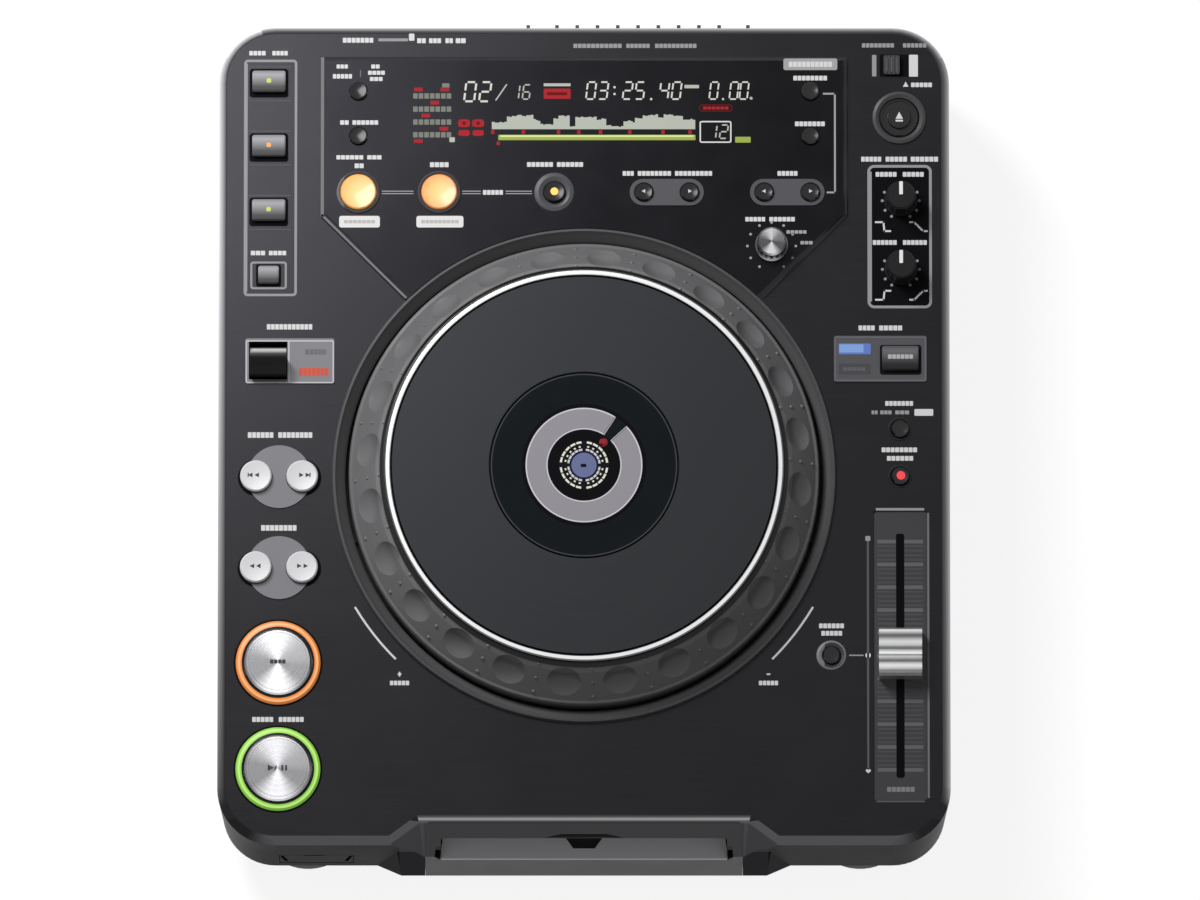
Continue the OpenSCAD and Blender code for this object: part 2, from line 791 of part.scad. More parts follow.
module feet() {
    color([0.07, 0.07, 0.075])
    for (x = [-1, 1], y = [-half_d + foot_inset, half_d - foot_inset - 8])
        translate([x * (half_w - foot_side_inset), y, 0])
            rotate_extrude()
                polygon([
                    [0, 0], [foot_r - 5, 0], [foot_r - 4.2, 0.8], [foot_r - 4.2, 3],
                    [foot_r - 2.6, 3], [foot_r - 0.6, 4.6], [foot_r, 7], [foot_r, foot_h - 1],
                    [foot_r - 0.5, foot_h], [0.6 * foot_r, foot_h], [0.6 * foot_r, floor_z], [0, floor_z]]);
}

module case_screws() {
    color([0.55, 0.55, 0.57])
    for (x = [-1, 1], y = screw_ys)
        translate([x * case_screw_x, y, 0])
            difference() {
                union() {
                    translate([0, 0, floor_z - 1.6]) cylinder(h = 0.6, r1 = 2.3, r2 = 2.9);
                    translate([0, 0, floor_z - 1]) cylinder(h = 1, r = 2.9);
                    translate([0, 0, floor_z - 0.5]) cylinder(h = 14, r = screw_r);
                }
                translate([0, 0, floor_z - 1.2]) cube([3, 0.8, 1.4], center = true);
                translate([0, 0, floor_z - 1.2]) cube([0.8, 3, 1.4], center = true);
            }
}

// ---------------------------------------------------------------- jog wheel

module on_jog() {
    translate([0, jog_y, 0]) children();
}

module jog_bezel() {
    color([0.13, 0.13, 0.14])
    on_jog()
        rotate_extrude($fn = 144)
            polygon([
                [bezel_in_r, skirt_z + 1], [opening_r - seat, skirt_z + 1], [opening_r - seat, panel_z],
                [bezel_r, panel_z], [bezel_r, panel_z + 1.4], [bezel_r - 0.5, panel_z + 2.5],
                [bezel_r - 1.4, panel_z + 3], [bezel_in_r + 0.6, panel_z - 1], [bezel_in_r, panel_z - 1.8]]);
}

// The fixed dish under the wheel, with the bearing post in its middle
module jog_base() {
    color([0.2, 0.2, 0.21])
    on_jog()
        difference() {
            union() {
                rotate_extrude($fn = 144)
                    polygon([
                        [0, base_z], [opening_r + 3, base_z], [opening_r + 3, under_z],
                        [opening_r + 0.6, under_z], [opening_r + 0.6, base_z + base_t],
                        [sleeve_r + 2, base_z + base_t], [sleeve_r + 2, skirt_z - gap],
                        [post_r, skirt_z - gap], [post_r, web_top + 0.6], [0, web_top + 0.6]]);
                // the wheel's turn sensor
                translate([60, 0, base_z + base_t]) cube([10, 14, 5], center = true);
                // stiffening ribs
                for (i = [0 : 11])
                    rotate([0, 0, 15 + i * 30])
                        translate([sleeve_r + 1, -0.8, base_z + base_t - 0.5])
                            cube([opening_r - sleeve_r - 0.2, 1.6, 3]);
            }
            translate([0, 0, base_z - 1])
                cylinder(h = panel_z, r = post_r - 4);
        }
}

module jog_wheel() {
    ball_r = (pow(dimple_r, 2) + pow(dimple_depth, 2)) / (2 * dimple_depth);
    mid_r = (slope_in_r + slope_out_r) / 2;
    mid_z = (slope_in_z + skirt_top) / 2;
    lift = ball_r - dimple_depth;
    shell = 4.4;        // thickness of the slope under the dimples
    color([0.08, 0.08, 0.085])
    on_jog()
        difference() {
            rotate_extrude($fn = 144)
                polygon([
                    [post_r + fit, skirt_z], [sleeve_r, skirt_z], [sleeve_r, web_top - web_t],
                    [ring_in_r + 1, web_top - web_t], [jog_r - skirt_t, skirt_top - shell],
                    [jog_r - skirt_t, skirt_z - 2], [jog_r, skirt_z - 2], [jog_r, skirt_top - 1.6],
                    [jog_r - 0.5, skirt_top - 0.5], [slope_out_r, skirt_top], [slope_in_r, slope_in_z],
                    [slope_in_r - 0.5, slope_in_z + 0.1], [ring_r + 0.1, ring_seat_z],
                    [ring_in_r, ring_seat_z], [ring_in_r, web_top], [post_r + fit, web_top]]);
            for (i = [0 : dimples - 1])
                rotate([0, 0, -95.3 + i * 360 / dimples])
                    translate([mid_r + lift * sin(slope_angle), 0, mid_z + lift * cos(slope_angle)])
                        sphere(ball_r);
            at_guide_pins()
                translate([0, 0, web_top - web_t - 1]) cylinder(h = web_t + 2, r = guide_pin_r + fit);
        }
}

module jog_trim_ring() {
    color([0.85, 0.85, 0.86])
    on_jog()
        rotate_extrude($fn = 144)
            polygon([
                [ring_in_r, ring_seat_z], [ring_r, ring_seat_z], [ring_r, jog_top - 0.7],
                [ring_r - 0.7, jog_top], [ring_in_r + 0.5, jog_top], [ring_in_r, jog_top - 0.5]]);
}

guide_pin_r = 2;

// Places of the pins that guide the touch plate in the wheel's web
module at_guide_pins() {
    for (i = [0 : 2])
        rotate([0, 0, 30 + i * 120])
            translate([plate_r - 22, 0, 0]) children();
}

module jog_plate() {
    in_r = display_r + 0.4;
    bottom = plate_z - plate_thick;
    web_bottom = web_top - web_t;
    color([0.22, 0.22, 0.23])
    on_jog() {
        rotate_extrude($fn = 144)
            polygon([
                [in_r, bottom], [plate_r - 2, bottom], [plate_r, bottom + 1], [plate_r, plate_z - 0.4],
                [plate_r - 0.4, plate_z], [in_r + 0.3, plate_z], [in_r, plate_z - 0.3]]);
        at_guide_pins() {
            translate([0, 0, web_bottom - gap - 1]) cylinder(h = bottom - web_bottom + gap + 2, r = guide_pin_r);
            translate([0, 0, web_bottom - gap - 1]) cylinder(h = 1, r = guide_pin_r + 1.2);
        }
    }
}

module jog_display() {
    low_z = web_top + 0.6;
    color([0.03, 0.03, 0.035])
    on_jog()
        rotate_extrude($fn = 144)
            polygon([
                [0, low_z - 8], [post_r - 4 - seat, low_z - 8], [post_r - 4 - seat, low_z],
                [display_r, low_z], [display_r, plate_z - 0.9], [display_r - 0.5, plate_z - 0.4],
                [0, plate_z - 0.4]]);
}

// ---------------------------------------------------------------- keys in their places

module play_button() {
    color([0.75, 0.75, 0.76]) at(play_key) transport_cap();
}

module cue_button() {
    color([0.75, 0.75, 0.76]) at(cue_key) transport_cap();
}

// A wide metal cap with a turned rim, guided by the tube of its lit ring
module transport_cap() {
    r = transport_r;
    top = panel_z + 3.4;
    tube_end = under_z - 1;
    difference() {
        union() {
            translate([0, 0, tube_end - gap - 1.2]) cylinder(h = 1.2, r = ring_tube_r - 0.2);
            translate([0, 0, tube_end - gap - 1]) cylinder(h = top - tube_end + gap + 0.2, r = r);
            translate([0, 0, top - 0.8]) cylinder(h = 0.8, r1 = r, r2 = r - 0.8);
            translate([0, 0, board_z + switch_h + transport_travel + 0.1])
                cylinder(h = 4, r = 1.8);
        }
        translate([0, 0, top - 0.35]) tube(r - 1.6, r - 2, 1);
    }
}

module light_rings() {
    tube_in = transport_r + gap + seat;
    color([0.95, 0.6, 0.2])
    for (k = transport_keys)
        at(k)
            rotate_extrude()
                polygon([
                    [tube_in, under_z - 1], [ring_tube_r - seat, under_z - 1], [ring_tube_r - seat, panel_z],
                    [transport_ring_r, panel_z], [transport_ring_r, panel_z + 0.6],
                    [transport_ring_r - 0.8, panel_z + 1.5], [tube_in + 0.7, panel_z + 1.7],
                    [tube_in, panel_z + 1.2]]);
}

module search_back_button() { color([0.88, 0.88, 0.89]) at(search_back_key) round_key(search_r, 3.2, key_travel); }
module search_forward_button() { color([0.88, 0.88, 0.89]) at(search_forward_key) round_key(search_r, 3.2, key_travel); }
module track_back_button() { color([0.88, 0.88, 0.89]) at(track_back_key) round_key(search_r, 3.2, key_travel); }
module track_forward_button() { color([0.88, 0.88, 0.89]) at(track_forward_key) round_key(search_r, 3.2, key_travel); }

module dark_key(key, h, surface = display_z) {
    color([0.1, 0.1, 0.11]) at(key) round_key(key[2], h, key_travel, surface);
}

module time_mode_button() { dark_key(time_key, 2.4); }
module text_mode_button() { dark_key(text_key, 2.4); }
module loop_in_button() { color([1, 0.8, 0.4]) at(loop_in_key) round_key(loop_r, 2.2, key_travel, display_z); }
module loop_out_button() { color([1, 0.7, 0.35]) at(loop_out_key) round_key(loop_r, 2.2, key_travel, display_z); }
module reloop_button() { dark_key(reloop_key, 2.6); }
module folder_back_button() { dark_key(folder_back_key, 2.2); }
module folder_forward_button() { dark_key(folder_forward_key, 2.2); }
module call_back_button() { dark_key(call_back_key, 2.2); }
module call_forward_button() { dark_key(call_forward_key, 2.2); }
module memory_button() { dark_key(memory_key, 2.4); }
module delete_button() { dark_key(delete_key, 2.4); }
module tempo_range_button() { dark_key(range_key, 2.4, panel_z); }
module master_tempo_button() { dark_key(master_key, 2.4, panel_z); }
module tempo_reset_button() { dark_key(reset_key, 2.4, panel_z); }

module hot_key(i) {
    k = hot_keys[i];
    color([0.15, 0.15, 0.16]) at(k) square_key(k[2], k[3], 3, key_travel);
}

module hot_key_1() { hot_key(0); }
module hot_key_2() { hot_key(1); }
module hot_key_3() { hot_key(2); }
module record_mode_button() { color([0.15, 0.15, 0.16]) at(record_key) square_key(record_key[2], record_key[3], 2, key_travel); }
module jog_mode_button() { color([0.15, 0.15, 0.16]) at(jog_mode_key) square_key(jog_mode_key[2], jog_mode_key[3], 2.6, key_travel); }

module eject_button() {
    color([0.12, 0.12, 0.13])
    at(eject_key)
        difference() {
            union() {
                round_key(eject_r, 1.6, key_travel);
                translate([0, 0, panel_z + 1]) cylinder(h = 1.6, r1 = 5.3, r2 = 4.9);
            }
            translate([0, 0, panel_z + 1]) tube(7.4, 5.3, 1);
        }
}

module jog_adjust_knob() { color([0.75, 0.75, 0.77]) at(adjust_knob) rotary_knob(knob_r, knob_h - 2, display_z, 16); }
module touch_brake_knob() { color([0.12, 0.12, 0.13]) at(touch_knob) rotary_knob(knob_r, knob_h, panel_z, 16); }
module release_start_knob() { color([0.12, 0.12, 0.13]) at(release_knob) rotary_knob(knob_r, knob_h, panel_z, 16); }

// The lock slide's thumb piece, its stem and the flat runner under the panel
module lock_slide() {
    rest_x = lock_x - lock_travel / 2;
    color([0.1, 0.1, 0.11])
    translate([rest_x, lock_y, 0]) {
        difference() {
            translate([0, 0, panel_z - 1 + gap])
                rounded_box(lock_w, lock_d, 3.2, 0.8);
            for (x = [-1 : 1])
                translate([x * 1.8, 0, panel_z + 2.6])
                    cube([0.8, 12, 1.2], center = true);
        }
        translate([-lock_stem_w / 2, -lock_stem_d / 2, under_z - gap - 1])
            cube([lock_stem_w, lock_stem_d, wall_t + gap + 1]);
        translate([-6, -4, under_z - gap - 1.5]) cube([12, 8, 1.5]);
    }
}

// The direction lever: a drum under the panel and a cap that leans to the front at rest
module direction_lever() {
    reach = 15;
    color([0.06, 0.06, 0.065])
    translate([lever_x, direction_y, lever_z])
        rotate([lever_tilt, 0, 0])
            rotate([90, 0, 90]) {
                cylinder(h = lever_w, r = 7, center = true);
                cylinder(h = lever_w + 6, r = lever_pin_r, center = true);
                linear_extrude(lever_w, center = true)
                    polygon([
                        [-3.6, 0], [3.6, 0], [3.4, reach - 6], [5.6, reach - 2], [5.8, reach - 0.6],
                        [4.8, reach], [0, reach - 0.8], [-3.6, reach - 0.6], [-4.8, reach - 1.6],
                        [-4.6, reach - 3], [-3.4, reach - 7]]);
            }
}

// ---------------------------------------------------------------- fixed trims on the panel

module control_plates() {
    color([0.45, 0.45, 0.47]) {
        // discs behind the search keys
        for (y = [search_y, track_y])
            translate([search_x, y, panel_z])
                difference() {
                    cylinder(h = 0.8, r = search_disc_r);
                    for (x = [-1, 1])
                        translate([x * search_pitch / 2, 0, -1]) cylinder(h = 3, r = search_r + gap);
                }
        // plate round the direction lever
        translate([direction_x, direction_y, panel_z])
            difference() {
                rounded_box(38.9, 19.6, 0.8, 1);
                translate([lever_x - direction_x, 0, 0]) cube([window_w, window_d, 8], center = true);
            }
        // plate of the jog mode key
        translate([jog_mode_x, jog_mode_y, panel_z])
            difference() {
                rounded_box(40.6, 20.5, 0.8, 1);
                translate([jog_mode_key_x - jog_mode_x, 0, -1])
                    rounded_box(jog_mode_key[2] + 2 * gap, jog_mode_key[3] + 2 * gap, 3, 1);
            }
        // recessed plate of the tempo slider
        translate([right_x, tempo_y, panel_z - 2.2])
            difference() {
                rounded_box(tempo_plate_w - 2 * seat, tempo_plate_l - 2 * seat, 1.4, 1.4);
                cube([tempo_slot_w, tempo_slot, 8], center = true);
            }
        // rings round the loop, reloop and eject keys
        for (k = [loop_in_key, loop_out_key])
            at(k) bevel_ring(k[2] + gap, loop_ring_r, display_z, 1.2);
        at(reloop_key) bevel_ring(reloop_key[2] + gap, 8.8, display_z, 1.2);
        at(eject_key) bevel_ring(eject_r + gap, eject_r + 3.3, panel_z, 1.8);
        at(reset_key) bevel_ring(small_r + gap, 6.6, panel_z, 0.6);
        at(master_key) bevel_ring(small_r + gap, small_r + 1.4, panel_z, 0.6);
        at(range_key) bevel_ring(small_r + gap, small_r + 1.4, panel_z, 0.6);
        // pads joining the pairs of folder and call keys
        key_pair_pad(folder_x, folder_pitch);
        key_pair_pad(call_x, call_pitch);
    }
}

module bevel_ring(r_in, r_out, z, h) {
    rotate_extrude()
        polygon([[r_in, z], [r_out, z], [r_out - 0.3, z + h * 0.7], [(r_in + r_out) / 2, z + h], [r_in, z + h * 0.5]]);
}

module key_pair_pad(x, pitch) {
    translate([x, row_y, display_z])
        difference() {
            rounded_box(pitch + 12.4, 11.8, 0.7, 5.8);
            for (side = [-1, 1])
                translate([side * pitch / 2, 0, -1]) cylinder(h = 3, r = small_r + 0.2 + gap);
        }
}

// ---------------------------------------------------------------- tempo slider

fader_w = 16;
fader_h = 14;

module tempo_slider() {
    l = tempo_cap_l / 2;
    z = panel_z - 0.4;
    color([0.85, 0.85, 0.86])
    translate([right_x, tempo_y, 0]) {
        translate([-tempo_cap_w / 2, 0, z])
            rotate([90, 0, 90])
                linear_extrude(tempo_cap_w)
                    polygon([
                        [-l, 0], [l, 0], [l, 9], [l - 1, 10.6], [l - 3.2, 10.4], [3.6, 8.2], [1.5, 8],
                        [1.1, 9.6], [-1.1, 9.6], [-1.5, 8], [-3.6, 8.2], [-l + 3.2, 10.4],
                        [-l + 1, 10.6], [-l, 9]]);
        translate([-(tempo_slot_w / 2 - gap), -3.2, under_z - 7])
            cube([tempo_slot_w - 2 * gap, 6.4, z - under_z + 7.5]);
    }
}

module fader_unit() {
    l = tempo_slot + 14;
    color([0.6, 0.6, 0.62])
    translate([right_x, tempo_y, 0])
        difference() {
            translate([-fader_w / 2, -l / 2, under_z - fader_h])
                cube([fader_w, l, fader_h]);
            translate([-tempo_slot_w / 2 - 1, -tempo_slot / 2 - 1, under_z - 8.5])
                cube([tempo_slot_w + 2, tempo_slot + 2, 10]);
            for (y = [-1, 1])
                translate([0, y * (l / 2 - 2.6), under_z - 4])
                    cylinder(h = 6, r = 1.25);
        }
}

// ---------------------------------------------------------------- disc drive

drive_top = slot_z + 6;
roller_z = disc_z - gap - roller_r;
shaft_r = 1.5;
motor_r = 12;
spindle_r = 1.2;
lug_x = 25;
arm_w = 18;

module drive_frame() {
    color([0.62, 0.64, 0.66])
    difference() {
        union() {
            translate([-drive_half_w, drive_front, drive_plate_z])
                cube([2 * drive_half_w, drive_rear - drive_front, drive_plate_t]);
            for (x = [-1, 1])
                translate([x * (drive_half_w - 0.75) - 0.75, drive_front, drive_plate_z])
                    cube([1.5, drive_rear - drive_front, drive_top - drive_plate_z]);
            // brackets of the guide rods and of the feed screw
            for (y = [bracket_front, bracket_rear])
                translate([-rod_x - 4, y, drive_plate_z])
                    cube([rod_x + 4 + feed_screw_x + 4, 1.6, rod_z + 4 - drive_plate_z]);
            // lugs of the clamp arm
            for (x = [-1, 1])
                translate([x * lug_x - 0.8, arm_y - 4, drive_plate_z])
                    cube([1.6, 8, arm_z + 3 - drive_plate_z]);
            // the guide rods themselves
            for (x = [-1, 1])
                translate([x * rod_x, bracket_front, rod_z])
                    rotate([-90, 0, 0]) cylinder(h = bracket_rear - bracket_front + 1.6, r = rod_r);
        }
        // the pickup's window
        translate([-16, turntable_y + 16.5, drive_plate_z - 1])
            cube([32, bracket_rear - turntable_y - 19, 4]);
        for (x = [-1, 1])
            translate([x * drive_half_w, roller_y, roller_z])
                rotate([0, 90, 0]) cylinder(h = 6, r = shaft_r + fit, center = true);
        for (y = [bracket_front, bracket_rear])
            translate([feed_screw_x, y, rod_z])
                rotate([90, 0, 0]) cylinder(h = 6, r = feed_screw_r + fit, center = true);
        for (x = [-1, 1])
            translate([x * lug_x, arm_y, arm_z])
                rotate([0, 90, 0]) cylinder(h = 4, r = shaft_r + fit, center = true);
    }
}

module drive_motors() {
    plate_top = drive_plate_z + drive_plate_t;
    color([0.7, 0.71, 0.73]) {
        // spindle motor
        translate([0, turntable_y, plate_top])
            difference() {
                union() {
                    cylinder(h = 4, r = motor_r);
                    cylinder(h = disc_z - 1.5 - gap - plate_top, r = motor_r - 2);
                }
                translate([0, 0, 3]) cylinder(h = 20, r = spindle_r + fit);
            }
        // feed motor, in line with the feed screw
        translate([feed_screw_x, bracket_front, rod_z])
            rotate([90, 0, 0])
                difference() {
                    cylinder(h = 15, r = 6);
                    translate([0, 0, -1]) cylinder(h = 6, r = feed_screw_r + fit);
                }
        translate([feed_screw_x - 3, bracket_front - 14, plate_top])
            cube([6, 10, rod_z - 5.5 - plate_top]);
        // loading motor
        translate([-48, roller_y + 16, plate_top + 7])
            rotate([0, 90, 0]) cylinder(h = 24, r = 7);
    }
}

module turntable() {
    color([0.2, 0.2, 0.22])
    translate([0, turntable_y, disc_z])
        difference() {
            rotate_extrude()
                polygon([
                    [0, -11], [spindle_r, -11], [spindle_r, -1.5], [turntable_r, -1.5], [turntable_r, 0],
                    [7.6, 0], [7.3, 0.9], [5.6, 2.1], [0, 2.1]]);
            for (i = [0 : 2])
                rotate([0, 0, i * 120])
                    translate([10.8, 0, 0]) cube([3, 1.2, 0.8], center = true);
        }
}

module pickup_sled() {
    color([0.3, 0.3, 0.33])
    difference() {
        union() {
            translate([-rod_x - 3, sled_front, rod_z - 3.5])
                cube([2 * rod_x + 6, sled_l, 7]);
            translate([0, sled_front + 7, rod_z + 3])
                cylinder(h = disc_z - 2 - rod_z - 3, r1 = 6, r2 = 4.5);
            // half nut beside the feed screw
            translate([rod_x + 2, sled_front + 9, rod_z - 2])
                cube([feed_screw_x - feed_screw_r - gap - rod_x - 2, 8, 4]);
        }
        for (x = [-1, 1])
            translate([x * rod_x, sled_front - 1, rod_z])
                rotate([-90, 0, 0]) cylinder(h = sled_l + 2, r = rod_r + fit);
        translate([0, sled_front + 7, disc_z - 2.8])
            cylinder(h = 2, r = 2.4);
    }
}

// The feed screw turns in both brackets; its front end sits in the feed motor
module feed_screw() {
    color([0.8, 0.8, 0.82])
    translate([feed_screw_x, bracket_front - 4, rod_z])
        rotate([-90, 0, 0])
            cylinder(h = bracket_rear - bracket_front + 7, r = feed_screw_r);
}

module loading_roller() {
    color([0.15, 0.15, 0.16])
    translate([0, roller_y, roller_z])
        rotate([0, 90, 0])
            rotate_extrude()
                polygon([
                    [0, -drive_half_w - 1.5], [shaft_r, -drive_half_w - 1.5], [shaft_r, -drive_half_w + 7],
                    [roller_r, -drive_half_w + 7], [roller_r - 0.5, 0], [roller_r, drive_half_w - 7],
                    [shaft_r, drive_half_w - 7], [shaft_r, drive_half_w + 1.5], [0, drive_half_w + 1.5]]);
}

module clamp_arm() {
    reach = arm_y - turntable_y;
    color([0.55, 0.57, 0.6])
    difference() {
        union() {
            translate([-arm_w / 2, turntable_y, arm_z - arm_t / 2])
                cube([arm_w, reach, arm_t]);
            translate([-lug_x + 2, arm_y - 5, arm_z - arm_t / 2])
                cube([2 * lug_x - 4, 7, arm_t]);
            translate([0, arm_y, arm_z])
                rotate([0, 90, 0]) cylinder(h = 2 * lug_x + 4, r = shaft_r, center = true);
            translate([0, turntable_y, disc_z + disc_t + gap])
                cylinder(h = arm_z - arm_t / 2 - disc_z - disc_t - gap + 0.2, r = puck_r);
            translate([0, turntable_y, arm_z - arm_t / 2])
                cylinder(h = arm_t, r = puck_r + 1);
        }
        translate([0, turntable_y, disc_z + disc_t])
            cylinder(h = 2.2, r = 8.2);
        translate([0, turntable_y + reach / 2 + 2, arm_z])
            cube([8, reach / 3, 6], center = true);
    }
}

// ---------------------------------------------------------------- boards and supply

// A board lying on z, cut free round the jog wheel's dish
module board_blank(x0, x1, y0, y1) {
    difference() {
        translate([x0, y0, board_z - board_t]) cube([x1 - x0, y1 - y0, board_t]);
        translate([0, jog_y, board_z - board_t - 1]) cylinder(h = 4, r = opening_r + 4, $fn = 144);
    }
}

module switches(keys) {
    for (k = keys)
        translate([k[0], k[1], board_z + switch_h / 2]) {
            cube([5, 5, switch_h - 1], center = true);
            cylinder(h = switch_h / 2, r = 1.6);
            translate([0, 0, -switch_h / 2]) cylinder(h = 2, r = 1.6);
        }
}

module circuit_boards() {
    side_x = half_w - 7;
    strip_x = opening_r + 4.5;
    rear_end = half_d - 22;
    front_end = -half_d + 22.5;
    color([0.1, 0.35, 0.2]) {
        // key boards left and right
        difference() {
            board_blank(-side_x, -strip_x, front_end, rear_end);
            translate([lever_x, direction_y, board_z]) cube([30, 20, 10], center = true);
        }
        difference() {
            union() {
                board_blank(strip_x, side_x, front_end, rear_end);
                board_blank(reset_x - 8, strip_x + 1, front_end, tempo_y + 12);
            }
            translate([right_x, tempo_y, board_z]) cube([fader_w + 1, tempo_slot + 15, 10], center = true);
        }
        // board under the display panel
        board_blank(-strip_x + 2, strip_x - 2, display_side_y - 22, rear_end);
        switches(concat(display_keys, panel_keys, transport_keys, square_keys));
        for (k = [adjust_knob, touch_knob, release_knob])
            translate([k[0] - 5, k[1] - 5, board_z]) cube([10, 10, pot_h]);
        // display tube
        translate([-78, display_rear_y - 42, board_z]) cube([154, 30, 6]);
        // main board with its chips
        translate([main_board_at[0], main_board_at[1], floor_top + post_h]) {
            translate([-main_board_size[0] / 2, -main_board_size[1] / 2, 0])
                cube([main_board_size[0], main_board_size[1], board_t]);
            for (c = main_chips)
                translate([c[0] - c[2] / 2, c[1] - c[2] / 2, board_t]) cube([c[2], c[2], 2.4]);
        }
    }
}

module power_supply() {
    z = floor_top + post_h;
    color([0.75, 0.6, 0.25])
    translate([supply_at[0], supply_at[1], z]) {
        translate([-supply_size[0] / 2, -supply_size[1] / 2, 0])
            cube([supply_size[0], supply_size[1], board_t]);
        translate([-30, 8, board_t]) cube(core_size);
        translate([-26, 5, board_t + 4]) cube(winding_size);
        for (c = [[18, 22, 7], [18, 2, 6], [-4, -20, 5], [-20, -22, 5]])
            translate([c[0], c[1], board_t]) cylinder(h = 22, r = c[2]);
        translate([14, -36, board_t]) cube([3, 24, 18]);
    }
}

// ---------------------------------------------------------------- rear

inlet_w = 27;
inlet_h = 20;
inlet_z = foot_h + 28;
control_x = jack_xs[0] - 14;
switch_w = 12;
switch_d = 8;

module rear_connectors() {
    wall_y = rear_y - plate_t;
    color([0.12, 0.12, 0.13]) {
        // audio jacks on a common block behind the rear plate
        difference() {
            union() {
                translate([jack_xs[0] - 7, wall_y - 12, jack_z - 8])
                    cube([jack_xs[2] - jack_xs[0] + 14, 12, 16]);
                for (x = jack_xs)
                    translate([x, wall_y - 1, jack_z])
                        rotate([-90, 0, 0]) cylinder(h = plate_t + jack_l + 1, r = jack_r);
            }
            for (x = jack_xs)
                translate([x, rear_y + jack_l - 7, jack_z])
                    rotate([-90, 0, 0]) cylinder(h = 8, r = 1.7);
        }
        // small control jack
        difference() {
            union() {
                translate([control_x - 5, wall_y - 12, jack_z - 6]) cube([10, 12, 12]);
                translate([control_x, wall_y - 1, jack_z])
                    rotate([-90, 0, 0]) cylinder(h = plate_t + 3, r = 3.2);
            }
            translate([control_x, rear_y - 10, jack_z])
                rotate([-90, 0, 0]) cylinder(h = 16, r = 1.8);
        }
        // mains inlet
        difference() {
            union() {
                translate([inlet_x - inlet_w / 2 + seat, rear_y - 20, inlet_z - inlet_h / 2 + seat])
                    cube([inlet_w - 2 * seat, 22, inlet_h - 2 * seat]);
                translate([inlet_x - inlet_w / 2 - 2.5, rear_y, inlet_z - inlet_h / 2 - 2.5])
                    cube([inlet_w + 5, 2, inlet_h + 5]);
            }
            translate([inlet_x, rear_y - 6, inlet_z]) cube([inlet_w - 5, 17, inlet_h - 6], center = true);
        }
        for (x = [-1, 0, 1])
            translate([inlet_x + x * 6, rear_y - 10, inlet_z + (x == 0 ? 3 : -1)])
                cube([2, 13, 4], center = true);
        // body of the mains switch
        translate([switch_x - switch_w / 2 - 1, wall_y - 22, inlet_z - switch_d / 2 - 1])
            cube([switch_w + 2, 14, switch_d + 2]);
        for (x = [-1, 1])
            translate([switch_x + x * (switch_w / 2 + 1.6) - 1, wall_y - 22, inlet_z - switch_d / 2 - 1])
                cube([2, 22, switch_d + 2]);
    }
}

switch_travel = 2.5;

module power_switch() {
    color([0.15, 0.15, 0.16])
    translate([switch_x, 0, inlet_z]) {
        translate([-switch_w / 2, rear_y - plate_t - 3, -switch_d / 2])
            cube([switch_w, plate_t + 3 + 4, switch_d]);
        translate([-2, rear_y - plate_t - 8 + switch_travel + gap, -2])
            cube([4, 5, 4]);
    }
}

module heat_sink() {
    fin_t = 1.6;
    half_span = (fins - 1) / 2 * fin_pitch + sink_edge;
    color([0.12, 0.12, 0.125])
    translate([sink_x, rear_y, sink_z]) {
        translate([-half_span - fin_t / 2, 0, 0]) cube([2 * half_span + fin_t, 3, sink_h]);
        for (i = [0 : fins - 1])
            translate([(i - (fins - 1) / 2) * fin_pitch - fin_t / 2, 0, 0])
                cube([fin_t, fin_y - rear_y, sink_h]);
        for (x = [-1, 1])
            translate([x * half_span - fin_t / 2, 0, 0])
                cube([fin_t, fin_y - rear_y, sink_h]);
    }
}

// ---------------------------------------------------------------- which piece is drawn
upper_case();
bottom_chassis();
display_panel();
disc_slot_bezel();
card_door();
feet();
case_screws();
jog_bezel();
jog_base();
jog_wheel();
jog_trim_ring();
jog_plate();
jog_display();
play_button();
cue_button();
light_rings();
control_plates();
search_back_button();
search_forward_button();
track_back_button();
track_forward_button();
direction_lever();
hot_key_1();
hot_key_2();
hot_key_3();
record_mode_button();
time_mode_button();
text_mode_button();
loop_in_button();
loop_out_button();
reloop_button();
folder_back_button();
folder_forward_button();
call_back_button();
call_forward_button();
memory_button();
delete_button();
jog_adjust_knob();
eject_button();
lock_slide();
touch_brake_knob();
release_start_knob();
jog_mode_button();
tempo_range_button();
master_tempo_button();
tempo_reset_button();
tempo_slider();
fader_unit();
drive_frame();
drive_motors();
turntable();
pickup_sled();
feed_screw();
loading_roller();
clamp_arm();
circuit_boards();
power_supply();
rear_connectors();
power_switch();
heat_sink();
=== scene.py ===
"""Tabletop disc player: finishes, printed marks, lit picture, light and camera."""

import math
from functools import partialmethod

import bmesh
import bpy
from bpy.props import FloatProperty, FloatVectorProperty, IntProperty, PointerProperty
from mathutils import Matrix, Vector


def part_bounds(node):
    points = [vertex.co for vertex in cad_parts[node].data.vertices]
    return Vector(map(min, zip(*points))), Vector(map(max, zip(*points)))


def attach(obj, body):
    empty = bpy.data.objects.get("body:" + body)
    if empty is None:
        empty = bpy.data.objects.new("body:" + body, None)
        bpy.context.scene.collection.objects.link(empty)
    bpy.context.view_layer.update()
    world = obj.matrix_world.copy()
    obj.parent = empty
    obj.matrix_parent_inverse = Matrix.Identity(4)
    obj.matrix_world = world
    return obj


bl_info = {
    "name": "Tabletop disc player",
    "version": (1, 0, 0),
    "blender": (4, 5, 0),
    "location": "3D View > Sidebar > Disc player",
    "description": "Finishes, printed marks, lights and camera of a tabletop disc player",
    "category": "Object",
}

